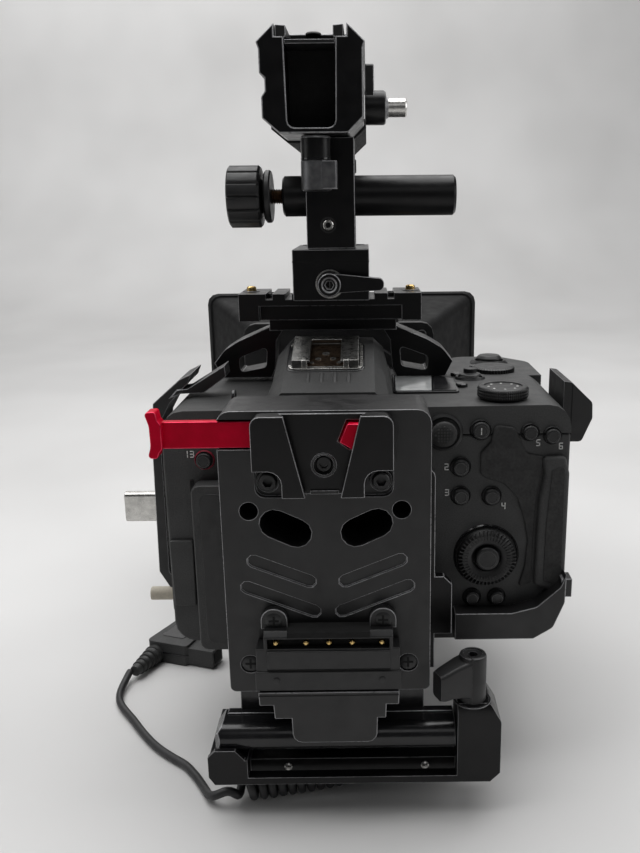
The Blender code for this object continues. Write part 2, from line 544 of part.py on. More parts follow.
# ---------------------------------------------------------------- cage
def make_cage():
    deck = block((-24, 3, CAGE_DECK_BOTTOM), (26, 38, CAGE_DECK_TOP))
    gussets = []
    windows = bmesh.new()
    outer = [(20.6, 160.1), (24.5, 157.8), (37.5, 152.2, 12), (43.4, 148.6, 6), (47.6, 143.4),
             (44.6, 137.4), (25.0, 137.4), (23.4, 141.0), (22.6, 152.0), (19.6, 157.0)]
    inner = [(26.4, 149.6, 1.2), (37.6, 145.4, 2.0), (37.4, 139.6, 1.5), (27.0, 141.6, 1.5)]
    for side in (-1, 1):
        gussets.append(prism([(1.0 + side * a, b) for a, b in rounded(outer)], "Y", 3.4, 15.5))
        prism([(1.0 + side * a, b) for a, b in rounded(inner)], "Y", 2, 17, windows)
    piece("cage_top", deck, "black_anodised", add=gussets, cut=[windows])

    left = [(-67.8, 66), (-64.0, 59.2), (-61.0, 59.2), (-61.0, 62.4), (-63.8, 65.6), (-63.4, 113),
            (-62.6, 127), (-58.9, 133.5), (-55.0, 137.9), (-51.8, 140.9), (-50.4, 144.4),
            (-55.0, 142.2), (-65.4, 133.2), (-66.9, 113)]
    arm = [(-58.6, 135.6), (-54.6, 137.0), (-46.0, 137.4), (-37.6, 143.4), (-38.0, 147.4),
           (-52.0, 138.9), (-56.0, 138.4)]
    window = block((-70, -20, 74), (-62, -7, 100))
    piece("cage_left", prism(left, "Y", -24, -4), "black_anodised", add=[prism(arm, "Y", -24.5, -14)],
          cut=[window])

    right = rounded([(CAGE_INNER, 118.6), (93.2, 118.6, 1.5), (96.9, 127.5, 2), (96.6, 133.4, 2),
                     (91.2, 138.6, 1.5), (88.8, 141.0, 1.5), (CAGE_INNER, 141.4)], steps=2)
    spine = block((CAGE_INNER, -26, 66.3), (88.0, -10, 120))
    key_slot = block((89, -20, 131), (93, -14, 143))
    piece("cage_right", prism(right, "Y", -30, -4), "black_anodised", add=[spine], cut=[key_slot])

    floor = [(-40, CAGE_FLOOR_LOW), (74.5, CAGE_FLOOR_LOW), (82.5, 49.0), (CAGE_OUTER, 59.5),
             (CAGE_OUTER, 66), (CAGE_INNER, 66), (CAGE_INNER, 56.8), (75, 47.1), (-40, 47.1)]
    lip = rounded([(45, 51.1), (73.5, 51.1), (80.5, 55.4, 3), (84.4, 65.2, 3), (84.5, 76.0),
                   (82.6, 71.2, 3), (74.3, 63.6, 4), (65.5, 61.3), (45, 61.3)])
    link = block((83.0, -52.6, 67.0), (CAGE_OUTER, BODY_REAR - 0.4, 74.0))
    stem = block((CAGE_INNER, -50, 58.4), (CAGE_OUTER, -36, 74.0))
    piece("cage_bottom", prism(floor, "Y", -38, 22), "black_anodised",
          add=[prism(lip, "Y", -53.6, BODY_REAR - 0.4), link, stem])


# ---------------------------------------------------------------- rail, clamp and handle
def make_rail():
    recess = block((-27, RAIL_REAR - 1, RAIL_BOTTOM - 1), (28, RAIL_REAR + 4, 166.6))
    bores = bmesh.new()
    for across in PIN_PLACES.values():
        prism(circle(across, 7, 2.3, 16), "Z", 161.8, RAIL_TOP + 1, bores)
    slots = bmesh.new()
    for across in (-23, -15.5, -8, 0.4, 8.8, 16.3, 23.8):
        block((across - 1.2, RAIL_REAR - 1, RAIL_TOP - 2.2), (across + 1.2, RAIL_FRONT + 1, RAIL_TOP + 1),
              slots)
    rail = block((RAIL_LEFT, RAIL_REAR, RAIL_BOTTOM), (RAIL_RIGHT, RAIL_FRONT, RAIL_TOP))
    piece("nato_rail", rail, "black_anodised", cut=[recess, bores, slots])
    for name, across in PIN_PLACES.items():
        piece(name, turned([(1.9, 164.2), (1.9, RAIL_TOP + 1.6), (1.4, RAIL_TOP + 2.1)], "Z",
                           (across, 7), 14), "brass", origin=(across, 7, RAIL_TOP))


def make_handle():
    grip = RAIL_TOP + GAP
    jaws = [(CLAMP_REAR, 169.6), (RAIL_REAR - 0.4, 169.6), (RAIL_REAR - 0.4, grip), (RAIL_FRONT + 0.4, grip),
            (RAIL_FRONT + 0.4, 163.0), (CLAMP_FRONT, 163.0), (CLAMP_FRONT, CLAMP_TOP),
            (CLAMP_REAR, CLAMP_TOP)]
    piece("nato_clamp", prism(jaws, "X", CLAMP_LEFT, CLAMP_RIGHT), "black_anodised")

    x, z = 0.9, 175.8
    rear = CLAMP_REAR - GAP
    arm = prism(rounded([(x, 173.7), (20.9, 173.7, 1.8), (20.9, 177.9, 1.8), (x, 180.0)]), "Y", rear - 4,
                rear)
    piece("nato_clamp_lever", turned([(4.4, rear), (4.4, rear - 4.6), (3.6, rear - 5.2)], "Y", (x, z), 24),
          "black_anodised", add=[arm], origin=(x, rear, z))

    column = rectangle(ARM_LEFT, ARM_RIGHT, CLAMP_TOP + GAP, HANDLE_BOTTOM - GAP)
    rod_bore = turned([(ROD_RADIUS + 0.35, ARM_LEFT - 1), (ROD_RADIUS + 0.35, ARM_RIGHT + 1)], "X",
                      (ROD_AXIS_Y, ROD_AXIS_Z), 28)
    piece("handle_arm", prism(column, "Y", ARM_REAR, ARM_FRONT), "black_anodised", cut=[rod_bore])

    axis = (ROD_AXIS_Y, ROD_AXIS_Z)
    rod = [(ROD_RADIUS - 0.5, ROD_LEFT), (ROD_RADIUS, ROD_LEFT + 0.6), (ROD_RADIUS, ROD_RIGHT - 0.5),
           (ROD_RADIUS - 0.5, ROD_RIGHT), (5.0, ROD_RIGHT), (5.0, ROD_RIGHT - 12), (3.2, ROD_RIGHT - 12),
           (3.2, ROD_LEFT)]
    piece("rod", turned(rod, "X", axis, 28, closed=True), "black_anodised",
          origin=(0, ROD_AXIS_Y, ROD_AXIS_Z))
    stud = turned([(2.7, ROD_LEFT + 8), (2.7, -20.0), (9.8, -20.2), (9.8, -21.4), (6.4, -22.0),
                   (6.4, -27.0)], "X", axis, 20)
    knob = lobed(10.9, 1.1, 10, "X", axis, -36.0, -26.2, 5)
    piece("rod_knob", knob, "black_plastic", add=[stud], origin=(-26, ROD_AXIS_Y, ROD_AXIS_Z))
    make_grip()
    make_handle_levers()


def make_grip():
    """The grip: a chamfered block with an open channel in its rear end and a shoe slot on top."""
    section = [(-14.6, HANDLE_BOTTOM), (-20.2, 232.6), (-20.2, 239.5), (-18.9, 241.2), (-18.9, 245.4),
               (-20.6, 246.8), (-20.6, 254.4), (-21.4, 256.6), (-15.2, 262.4), (8.8, 262.4), (15.0, 256.6),
               (14.2, 254.4), (14.2, 232.8), (9.0, HANDLE_BOTTOM)]
    channel = prism(rounded([(-11.6, 229.6, 2.4), (4.6, 229.6, 2.4), (5.2, 264), (-12.2, 264)]), "Y",
                    HANDLE_REAR - 1, HANDLE_REAR + 20)
    saddle = block((-15.2, HANDLE_REAR - 1, 258.2), (8.8, HANDLE_REAR + 20.5, 264))
    finger = prism(rectangle(20, 84, 236, 254.5, 7), "X", -30, 30)
    piece("top_handle", prism(section, "Y", HANDLE_REAR, HANDLE_FRONT), "black_plastic",
          cut=[channel, saddle, finger])


def make_handle_levers():
    axis = (-12.0, 237.2)
    start = 14.6
    fin = prism(rounded([(-14.8, 238), (-13.4, 251.6, 1), (-10.6, 251.6, 1), (-9.2, 238)], steps=2), "X",
                start + 0.2, start + 3.2)
    hub = turned([(5.8, start), (5.8, 22.2), (3.2, 22.4), (3.2, 29.4)], "X", axis, 24)
    piece("side_lever", hub, "black_anodised", add=[fin], origin=(start, *axis))

    x, y = -2.6, -21.6
    neck = turned([(5.2, 209.0), (5.2, HANDLE_BOTTOM - GAP)], "Z", (x, y), 20)
    lug = prism(rounded([(x, y - 4.4), (x + 7.4, y - 4.4, 1), (x + 7.4, y + 2.2, 1), (x, y + 4.4)],
                        steps=2), "Z", 209.6, 219.2)
    piece("under_lever", neck, "black_anodised", add=[lug], origin=(x, y, 219))


# ---------------------------------------------------------------- cord
def smooth_route(points, spacing):
    """A smooth curve through the route's own points, sampled at an even spacing."""
    dense = []
    count = len(points)
    for index in range(count - 1):
        p0 = Vector(points[max(index - 1, 0)])
        p1, p2 = Vector(points[index]), Vector(points[index + 1])
        p3 = Vector(points[min(index + 2, count - 1)])
        for step in range(12):
            t = step / 12
            dense.append(0.5 * ((2 * p1) + (p2 - p0) * t + (2 * p0 - 5 * p1 + 4 * p2 - p3) * t * t
                                + (3 * p1 - p0 - 3 * p2 + p3) * t ** 3))
    dense.append(Vector(points[-1]))
    kept = [dense[0]]
    for point in dense[1:-1]:
        far_enough = (point - kept[-1]).length >= spacing
        if far_enough and (dense[-1] - point).length > spacing * 0.6:
            kept.append(point)
    kept.append(dense[-1])
    return kept


def tube(name, route, radius, spacing, finish):
    """A round tube along a route, as a curve with filled ends."""
    curve = bpy.data.curves.new(name, "CURVE")
    curve.dimensions = "3D"
    curve.bevel_depth = radius * MM
    curve.bevel_resolution = 2
    curve.use_fill_caps = True
    points = smooth_route(route, spacing)
    spline = curve.splines.new("POLY")
    spline.points.add(len(points) - 1)
    for slot, point in zip(spline.points, points):
        slot.co = (*(point * MM), 1.0)
    curve.materials.append(finish_material(finish))
    made = bpy.data.objects.new(name, curve)
    bpy.context.collection.objects.link(made)


def make_cord():
    width, depth, height = PLUG_SIZE
    body = prism(rounded([(0, 0, 2), (width, 0, 2), (width, depth, 6), (4, depth, 6)]), "Z", 0.2, height)
    nose = block((width - 2, 1.0, 0.9), (width + 12.5, 10.0, 9.0))
    boot = turned([(4.1, 2.0), (4.1, -4.0), (3.6, -5.0), (2.4, -BOOT_LENGTH)], "Y",
                  (BOOT_OFFSET, BOOT_HEIGHT), 16)
    turn = Matrix.Translation((*PLUG_CORNER, 0)) @ Matrix.Rotation(PLUG_ANGLE, 4, "Z")
    for shape in (body, nose, boot):
        bmesh.ops.transform(shape, matrix=turn, verts=shape.verts)
    piece("power_plug", body, "black_plastic", add=[nose, boot])
    tube("cord_lead", LEAD_ROUTE, CORD_RADIUS, 3.6, "cable_black")
    tube("cord_curl", CURL_ROUTE, CURL_RADIUS, 6.0, "cable_black")


def make_side_plugs():
    """Two bare plug shells on the left, where the monitor and data cables go."""
    flat = rectangle(-13.2, -8.6, 82.4, 94.6, 1.5, 2)
    piece("monitor_port_plug", prism(flat, "X", -82.4, BODY_LEFT - GAP), "steel")
    small = rectangle(-17.5, -12.5, 50.0, 55.2, 2.2, 3)
    piece("data_port_plug", prism(small, "X", -74.0, BODY_LEFT - GAP), "steel")


def main():
    clear_scene()
    make_base()
    make_battery_plate()
    make_camera_body()
    make_controls()
    make_lens()
    make_matte_box()
    make_cage()
    make_rail()
    make_handle()
    make_cord()
    make_side_plugs()


main()
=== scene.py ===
"""The looks of the cinema camera rig: finishes, fine pieces, the power cord, and a plain studio.

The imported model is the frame. Shapes here are built in millimetres and scaled to metres; places are
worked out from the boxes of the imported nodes. X is the camera's right, Y is forward, Z is up.
"""
import json
import math

import bmesh
import bpy
from mathutils import Matrix, Vector


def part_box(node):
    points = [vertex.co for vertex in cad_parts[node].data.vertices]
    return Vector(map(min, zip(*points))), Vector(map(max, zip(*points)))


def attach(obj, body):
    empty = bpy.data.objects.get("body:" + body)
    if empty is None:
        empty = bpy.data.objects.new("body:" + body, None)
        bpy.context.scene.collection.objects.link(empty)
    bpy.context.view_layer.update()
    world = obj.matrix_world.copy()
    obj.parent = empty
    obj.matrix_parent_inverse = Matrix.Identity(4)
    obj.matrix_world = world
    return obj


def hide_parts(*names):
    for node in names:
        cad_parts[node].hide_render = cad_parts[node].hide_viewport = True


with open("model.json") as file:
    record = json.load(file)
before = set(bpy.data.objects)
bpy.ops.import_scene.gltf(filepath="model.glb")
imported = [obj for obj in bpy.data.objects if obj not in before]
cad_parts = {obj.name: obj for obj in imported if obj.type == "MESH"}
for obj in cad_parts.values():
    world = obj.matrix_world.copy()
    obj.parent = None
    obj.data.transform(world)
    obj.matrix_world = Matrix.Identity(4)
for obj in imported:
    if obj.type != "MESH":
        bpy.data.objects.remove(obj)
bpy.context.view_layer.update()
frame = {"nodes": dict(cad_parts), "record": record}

MM = 0.001
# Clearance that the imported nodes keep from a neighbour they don't touch
GAP = 0.3
HUMP_SLOPE = math.atan2(5.6, 18.0)
EYEPIECE_X = 1.4

# Camera: the eye is in millimetres, the angles in degrees
EYE = (15.1, -332.0, 204.0)
PITCH, ROLL, YAW = -14.62, -0.55, 0.33
LENS, SENSOR, SHIFT_X = 35.87, 36.0, -0.0639

# Power cord
CORD_RADIUS, CURL_MEAN, CURL_PITCH = 1.55, 3.8, 3.35
TURN_POINTS, RAMP_TURNS, LEAD_SPACING = 14, 4.0, 2.4
PLUG_PLACE, PLUG_TURN = (-89.2, 24.4, 0), -19.0
CORD_EXIT = (58.0, 44.0, 38.0)
CURL_ROUTE = [
    (58.0, 44.0, 37.2), (58.0, 44.2, 32.5), (57.4, 46.4, 27.5), (54.0, 50.5, 23.5), (47.5, 52.0, 16.0),
    (39.0, 48.5, 10.0), (31.5, 39.0, 6.4), (27.6, 26.0, 5.7), (26.8, 10.0, 5.7), (26.8, -10.0, 5.7),
    (26.6, -30.0, 5.7), (26.0, -44.0, 5.7), (22.0, -53.0, 5.7), (14.0, -60.0, 5.7), (4.0, -64.6, 5.7),
    (-7.0, -67.8, 5.7), (-18.0, -70.4, 5.7), (-29.0, -73.0, 5.7), (-37.6, -76.2, 5.7),
]
LEAD_ROUTE = [
    (-39.8, -76.7, 5.0), (-42.6, -75.0, 3.4), (-45.6, -69.4, 2.2), (-49.6, -62.8, 1.8),
    (-54.8, -56.0, 1.75), (-60.8, -51.2, 1.75), (-66.8, -46.0, 1.75), (-72.0, -40.4, 1.75),
    (-77.6, -33.2, 1.75), (-82.5, -26.2, 1.75), (-87.2, -20.0, 1.75), (-90.4, -15.4, 1.75),
    (-92.6, -10.5, 1.75), (-93.6, -5.0, 2.0), (-93.3, 1.0, 3.1), (-92.6, 6.9, 4.3),
]


# ---------------------------------------------------------------- shape helpers
def box_of(node):
    """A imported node's lowest and highest corners, in millimetres."""
    low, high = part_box(node)
    return Vector(low) / MM, Vector(high) / MM


def centre_of(node, axis):
    """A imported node's middle, as the two coordinates across an axis."""
    low, high = box_of(node)
    x, y, z = (low + high) / 2
    return {"X": (y, z), "Y": (x, z), "Z": (x, y)}[axis]


def place(axis, across, up, along):
    """A point from the two coordinates of an outline and one along the axis."""
    if axis == "X":
        return (along, across, up)
    if axis == "Y":
        return (across, along, up)
    return (across, up, along)


def rounded(corners, default=0.0, steps=4):
    """A polygon whose corners are (a, b) or (a, b, radius), with each corner turned into an arc."""
    points = []
    count = len(corners)
    for index, corner in enumerate(corners):
        radius = corner[2] if len(corner) > 2 else default
        here = Vector(corner[:2])
        before = (Vector(corners[index - 1][:2]) - here).normalized()
        after = (Vector(corners[(index + 1) % count][:2]) - here).normalized()
        if radius <= 0:
            points.append(tuple(here))
            continue
        half = before.angle(after) / 2
        reach = radius / math.tan(half)
        centre = here + (before + after).normalized() * (radius / math.sin(half))
        first = here + before * reach - centre
        sweep = first.angle_signed(here + after * reach - centre)
        for step in range(steps + 1):
            turn = Matrix.Rotation(-sweep * step / steps, 2)
            points.append(tuple(centre + turn @ first))
    return points


def rectangle(left, right, low, high, radius=0.0, steps=4):
    return rounded([(left, low), (right, low), (right, high), (left, high)], radius, steps)


def circle(across, up, radius, steps=32):
    turns = [2 * math.pi * step / steps for step in range(steps)]
    return [(across + radius * math.cos(t), up + radius * math.sin(t)) for t in turns]


def prism(outline, axis, start, end, shape=None):
    """Extrude a flat outline between two places along an axis."""
    shape = shape or bmesh.new()
    low = [shape.verts.new(place(axis, a, b, start)) for a, b in outline]
    high = [shape.verts.new(place(axis, a, b, end)) for a, b in outline]
    shape.faces.new(low)
    shape.faces.new(list(reversed(high)))
    for index in range(len(outline)):
        after = (index + 1) % len(outline)
        shape.faces.new((low[index], high[index], high[after], low[after]))
    return shape


def block(low, high, shape=None):
    """A box between two corners."""
    return prism(rectangle(low[0], high[0], low[2], high[2]), "Y", low[1], high[1], shape)


def loft(rings, shape=None, closed=False):
    """Skin rings of equal length; capped at both ends unless the rings close on themselves."""
    shape = shape or bmesh.new()
    made = [[shape.verts.new(point) for point in ring] for ring in rings]
    count = len(made[0])
    spans = len(made) if closed else len(made) - 1
    for index in range(spans):
        near, far = made[index], made[(index + 1) % len(made)]
        for step in range(count):
            after = (step + 1) % count
            shape.faces.new((near[step], near[after], far[after], far[step]))
    if not closed:
        shape.faces.new(list(reversed(made[0])))
        shape.faces.new(made[-1])
    return shape


def hex_reach(angle):
    """How far a hexagon of unit inner radius reaches at an angle."""
    sixth = math.pi / 3
    return 1 / math.cos((angle % sixth) - sixth / 2)


def lathe(profile, axis, centre, steps=48, closed=False, shape=None, wave=None):
    """Revolve (radius, along) points; a third value of 1 makes that ring a hexagon.

    wave(angle, along) is added to the radius of rings whose third value is 2.
    """
    rings = []
    for entry in profile:
        radius, along = entry[:2]
        kind = entry[2] if len(entry) > 2 else 0
        ring = []
        for step in range(steps):
            t = 2 * math.pi * step / steps
            reach = radius
            if kind == 1:
                reach = radius * hex_reach(t)
            if kind == 2:
                reach = radius + wave(t, along)
            ring.append(place(axis, centre[0] + reach * math.cos(t), centre[1] + reach * math.sin(t),
                              along))
        rings.append(ring)
    return loft(rings, shape, closed)


def washer(inner, outer, start, end, axis, centre, steps=48):
    """A flat ring of rectangular section."""
    profile = [(inner, start), (outer, start), (outer, end), (inner, end)]
    return lathe(profile, axis, centre, steps, closed=True)


# ---------------------------------------------------------------- materials
def new_material(name, colour, roughness, metallic=0.0, **inputs):
    material = bpy.data.materials.new(name)
    material.use_nodes = True
    shader = material.node_tree.nodes["Principled BSDF"]
    shader.inputs["Base Color"].default_value = (*colour, 1.0)
    shader.inputs["Roughness"].default_value = roughness
    shader.inputs["Metallic"].default_value = metallic
    for key, value in inputs.items():
        shader.inputs[key.replace("_", " ")].default_value = value
    return material


def object_coordinates(tree, stretch=(1, 1, 1)):
    """Coordinates in metres, fixed to the piece, stretched per axis."""
    source = tree.nodes.new("ShaderNodeTexCoord")
    mapping = tree.nodes.new("ShaderNodeMapping")
    mapping.inputs["Scale"].default_value = stretch
    tree.links.new(source.outputs["Object"], mapping.inputs["Vector"])
    return mapping.outputs["Vector"]


def noise(tree, size_mm, detail=3.0, stretch=(1, 1, 1)):
    """A noise whose features are about size_mm across."""
    texture = tree.nodes.new("ShaderNodeTexNoise")
    texture.inputs["Scale"].default_value = 1 / (size_mm * MM)
    texture.inputs["Detail"].default_value = detail
    tree.links.new(object_coordinates(tree, stretch), texture.inputs["Vector"])
    return texture.outputs["Fac"]


def cells(tree, size_mm):
    """Leather-like cells about size_mm across."""
    texture = tree.nodes.new("ShaderNodeTexVoronoi")
    texture.feature = "SMOOTH_F1"
    texture.inputs["Scale"].default_value = 1 / (size_mm * MM)
    tree.links.new(object_coordinates(tree), texture.inputs["Vector"])
    return texture.outputs["Distance"]


def vary(material, source, socket, low, high):
    """Drive a socket between two values, or two colours, by a texture."""
    tree = material.node_tree
    ramp = tree.nodes.new("ShaderNodeValToRGB")
    ends = [(value if isinstance(value, tuple) else (value,) * 3) for value in (low, high)]
    ramp.color_ramp.elements[0].position = 0.32
    ramp.color_ramp.elements[1].position = 0.68
    for element, colour in zip(ramp.color_ramp.elements, ends):
        element.color = (*colour, 1.0)
    tree.links.new(source, ramp.inputs["Fac"])
    tree.links.new(ramp.outputs["Color"], tree.nodes["Principled BSDF"].inputs[socket])


def roughen(material, source, height_mm):
    """Bump from a texture, with a real height."""
    tree = material.node_tree
    bump = tree.nodes.new("ShaderNodeBump")
    bump.inputs["Distance"].default_value = height_mm * MM
    bump.inputs["Strength"].default_value = 1.0
    tree.links.new(source, bump.inputs["Height"])
    tree.links.new(bump.outputs["Normal"], tree.nodes["Principled BSDF"].inputs["Normal"])


def surface(name, dark, light, mottle, rough, bump=None, metallic=0.0, **inputs):
    """A finish whose colour drifts from dark to light over a noise, mottle.

    rough is one value, or (low, high, noise). bump is (height in mm, texture function, its settings).
    A noise is (size in mm, detail, stretch), and the last two may be left out.
    """
    steady = isinstance(rough, float)
    material = new_material(name, light, rough if steady else rough[1], metallic, **inputs)
    tree = material.node_tree
    vary(material, noise(tree, *mottle), "Base Color", dark, light)
    if not steady:
        vary(material, noise(tree, *rough[2]), "Roughness", *rough[:2])
    if bump:
        height, texture, settings = bump
        roughen(material, texture(tree, *settings), height)
    return material


def anodised(name, dark, light, smooth, rough, specular=0.5):
    """Black anodising: faintly mottled, with the fine grain of the blasted metal under it."""
    return surface(name, dark, light, (14,), (smooth, rough, (5, 5)), (0.02, noise, (0.35, 2)),
                   Specular_IOR_Level=specular)


def brushed_metal(name, dark, light, smooth=0.22, rough=0.36):
    grain = (1.6, 3, (1, 1, 14))
    return surface(name, dark, light, (3, 5), (smooth, rough, grain), (0.012, noise, grain), 1.0)


def paint(name, colour):
    shade = tuple(channel * 0.85 for channel in colour)
    return surface(name, shade, colour, (1.0,), 0.6)


def make_finishes():
    """Every finish: its face material, and the material of its bevelled edges, which is brighter to paint a
    highlight along them.
    """
    # Painted highlight: the chamfers get a brighter, part-metallic material than the faces beside them, so
    # that they read as lit edges
    edge = surface("painted_edge_highlight", (0.20, 0.20, 0.205), (0.34, 0.34, 0.35), (6, 4), (0.24, 0.38, (1.5,)),
                   metallic=0.4)
    black = anodised("anodised_black", (0.0070, 0.0070, 0.0074), (0.0120, 0.0116, 0.0120), 0.38, 0.52)
    deep = anodised("anodised_deep", (0.0025, 0.0025, 0.003), (0.0050, 0.0046, 0.0050), 0.28, 0.40, 0.28)
    hood = anodised("hood_black", (0.006, 0.006, 0.006), (0.010, 0.010, 0.0105), 0.60, 0.75, 0.15)
    red = surface("anodised_red", (0.44, 0.0, 0.016), (0.56, 0.0, 0.024), (6,), (0.38, 0.52, (2.5,)),
                  (0.012, noise, (0.4, 2)), Specular_IOR_Level=0.08)
    shell = surface("shell_plastic", (0.025, 0.0252, 0.0252), (0.040, 0.0405, 0.0405), (0.5, 2),
                    (0.50, 0.64, (9,)), (0.06, noise, (0.45, 2)))
    satin = surface("satin_plastic", (0.007, 0.007, 0.0075), (0.012, 0.012, 0.0125), (8,),
                    (0.36, 0.50, (3,)), (0.015, noise, (0.7, 2)))
    grained = surface("grained_rubber", (0.019, 0.019, 0.019), (0.029, 0.0285, 0.0285), (4,),
                      (0.68, 0.86, (1.2,)), (0.14, cells, (0.9,)))
    rubber = surface("smooth_rubber", (0.012, 0.012, 0.012), (0.019, 0.019, 0.019), (6,),
                     (0.55, 0.74, (2,)), (0.03, noise, (0.5, 2)))
    gloss = surface("gloss_black", (0.008, 0.008, 0.009), (0.013, 0.013, 0.014), (7,), (0.16, 0.27, (3,)))
    jacket = surface("cable_jacket", (0.014, 0.014, 0.015), (0.024, 0.024, 0.025), (12,),
                     (0.40, 0.56, (2,)), (0.02, noise, (0.6, 2)))
    # Painted shade: a near-black, fully matte finish put in slots, grooves, gaps and recesses to stand in
    # for the shade inside them
    painted_shade = surface("painted_shade_black", (0.002, 0.002, 0.002), (0.005, 0.005, 0.005), (3,), 0.9)
    board = surface("board_green", (0.008, 0.05, 0.02), (0.02, 0.09, 0.04), (2,), 0.5)
    display = surface("display_glass", (0.26, 0.27, 0.27), (0.44, 0.45, 0.45), (9, 2), 0.12)
    glass = surface("lens_glass", (0.010, 0.008, 0.024), (0.022, 0.012, 0.020), (20, 1), 0.04,
                    Coat_Weight=1.0, Coat_Roughness=0.02)
    steel = brushed_metal("brushed_steel", (0.50, 0.49, 0.47), (0.66, 0.65, 0.62))
    brass = brushed_metal("polished_brass", (0.60, 0.40, 0.14), (0.78, 0.56, 0.24), 0.2, 0.3)
    # Painted highlight on the red lever's chamfers: a brighter red metal
    pink_edge_highlight = brushed_metal("red_painted_edge_highlight", (0.62, 0.02, 0.07), (0.82, 0.08, 0.14), 0.26, 0.36)
    grey = brushed_metal("satin_aluminium", (0.11, 0.11, 0.115), (0.19, 0.19, 0.195), 0.36, 0.50)
    shoe = brushed_metal("shoe_steel", (0.20, 0.20, 0.195), (0.36, 0.355, 0.34), 0.24, 0.40)
    bronze = brushed_metal("spring_bronze", (0.10, 0.065, 0.045), (0.22, 0.16, 0.11), 0.25, 0.40)
    # Each finish is (face, edge); the edge material paints a highlight on the bevels
    return {
        "anodised_black": (black, edge), "anodised_deep": (deep, edge), "anodised_red": (red, pink_edge_highlight),
        "plastic_black": (satin, satin), "camera_shell": (shell, shell), "handle_black": (deep, edge),
        "rubber_black": (grained, None), "soft_rubber": (rubber, None), "lens_black": (satin, satin),
        "screen_cover": (shell, shell), "steel": (steel, steel), "satin_grey": (grey, edge),
        "bronze": (bronze, None), "brass": (brass, brass), "shoe_steel": (shoe, shoe),
        "hood_black": (hood, hood), "bar_black": (gloss, edge), "circuit_board": (board, None),
        "cable_black": (jacket, None), "gloss": (gloss, None), "glass": (glass, None),
        "display": (display, None), "painted_shade": (painted_shade, None),
        "ivory": (paint("ivory_plastic", (0.56, 0.51, 0.42)), None),
        "white_mark": (paint("white_mark", (0.80, 0.80, 0.78)), None),
        "red_mark": (paint("red_mark", (0.30, 0.008, 0.03)), None),
    }


FINISH = make_finishes()
# Imported nodes whose finish isn't that of their slot
FINISH_OF = {"dovetail_plate": "bar_black", "hot_shoe": "shoe_steel", "matte_box_hood": "hood_black",
             "data_port_plug": "ivory", "power_plug": "camera_shell", **dict.fromkeys(
                 ("nato_clamp", "handle_arm", "nato_rail", "cage_top", "mounting_bracket",
                  "wedge_receptacle", "clamp_base"), "anodised_deep")}
# Bevel width in millimetres and its segments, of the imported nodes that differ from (0.3, 2)
BEVELS = {"body_rear_cover": (1.0, 3), "body_front_cover": (1.0, 3), "body_top_cover": (1.2, 3),
          "screen_panel": (0.8, 3), "matte_box_hood": (0.6, 2), "matte_box_frame": (0.8, 2),
          "power_plug": (1.0, 3), "connector_block": (0.45, 2), "wedge_receptacle": (0.25, 2),
          "battery_plate": (0.2, 2), "top_handle": (0.5, 3), "clamp_base": (0.5, 3),
          "dovetail_plate": (0.5, 3), "cage_bottom": (0.6, 3), "cage_right": (0.7, 3),
          "cage_left": (0.5, 3), "cage_top": (0.5, 3)}
# Nodes whose shallow grooves would otherwise narrow the bevel on every edge
FULL_BEVEL = {"battery_plate", "wedge_receptacle", "lower_cover", "mounting_bracket"}
EDGE_ANGLE, SHARP_ANGLE = math.radians(32), math.radians(34)


# ---------------------------------------------------------------- making pieces
# Where the camera's rear face lies along Y
REAR = box_of("body_rear_cover")[0].y


def add_bevel(thing, width_mm, segments, with_edge_highlight):
    bevel = thing.modifiers.new("Edges", "BEVEL")
    bevel.width = width_mm * MM
    bevel.segments = segments
    bevel.limit_method = "ANGLE"
    bevel.angle_limit = EDGE_ANGLE
    if with_edge_highlight:
        # The bevel's faces take the second material, which paints a highlight along the edge
        bevel.material = 1
    return bevel


def make(name, shape, finish, body="root", bevel=0, segments=2, replaces=()):
    """One visible piece from a millimetre bmesh, riding on a body."""
    bmesh.ops.recalc_face_normals(shape, faces=shape.faces)
    bmesh.ops.transform(shape, matrix=Matrix.Scale(MM, 4), verts=shape.verts)
    mesh = bpy.data.meshes.new(name)
    shape.to_mesh(mesh)
    shape.free()
    mesh.shade_smooth()
    mesh.set_sharp_from_angle(angle=SHARP_ANGLE)
    thing = bpy.data.objects.new(name, mesh)
    bpy.context.collection.objects.link(thing)
    face, edge = FINISH[finish]
    mesh.materials.append(face)
    if edge:
        mesh.materials.append(edge)
    if bevel:
        add_bevel(thing, bevel, segments, edge is not None)
    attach(thing, body)
    if replaces:
        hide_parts(*replaces)
    return thing


def dress_packed_nodes():
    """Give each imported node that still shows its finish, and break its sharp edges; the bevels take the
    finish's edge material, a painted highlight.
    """
    slots = {part["node"]: part["material_slot"] for part in frame["record"]["subparts"]}
    for name, thing in frame["nodes"].items():
        face, edge = FINISH[FINISH_OF.get(name, slots[name])]
        thing.data.materials.clear()
        thing.data.materials.append(face)
        if edge:
            thing.data.materials.append(edge)
        weld = thing.modifiers.new("Weld", "WELD")
        weld.merge_threshold = 0.002 * MM
        flat = thing.modifiers.new("Flat", "DECIMATE")
        flat.decimate_type = "DISSOLVE"
        flat.angle_limit = math.radians(0.6)
        width, segments = BEVELS.get(name, (0.3, 2))
        bevel = add_bevel(thing, width, segments, edge is not None)
        bevel.use_clamp_overlap = name not in FULL_BEVEL
        normals = thing.modifiers.new("Normals", "WEIGHTED_NORMAL")
        normals.keep_sharp = False


def socket_screw(name, centre, axis, radius, start, end, finish="anodised_black", body="root"):
    """A screw head from start to end along an axis, with a hexagonal socket."""
    sign = 1 if end > start else -1
    depth = abs(end - start) * 0.7
    edge = radius * 0.14
    profile = [(radius, start), (radius, end - sign * edge), (radius - edge, end),
               (radius * 0.50, end, 1), (radius * 0.50, end - sign * depth, 1)]
    return make(name, lathe(profile, axis, centre, 36), finish, body)


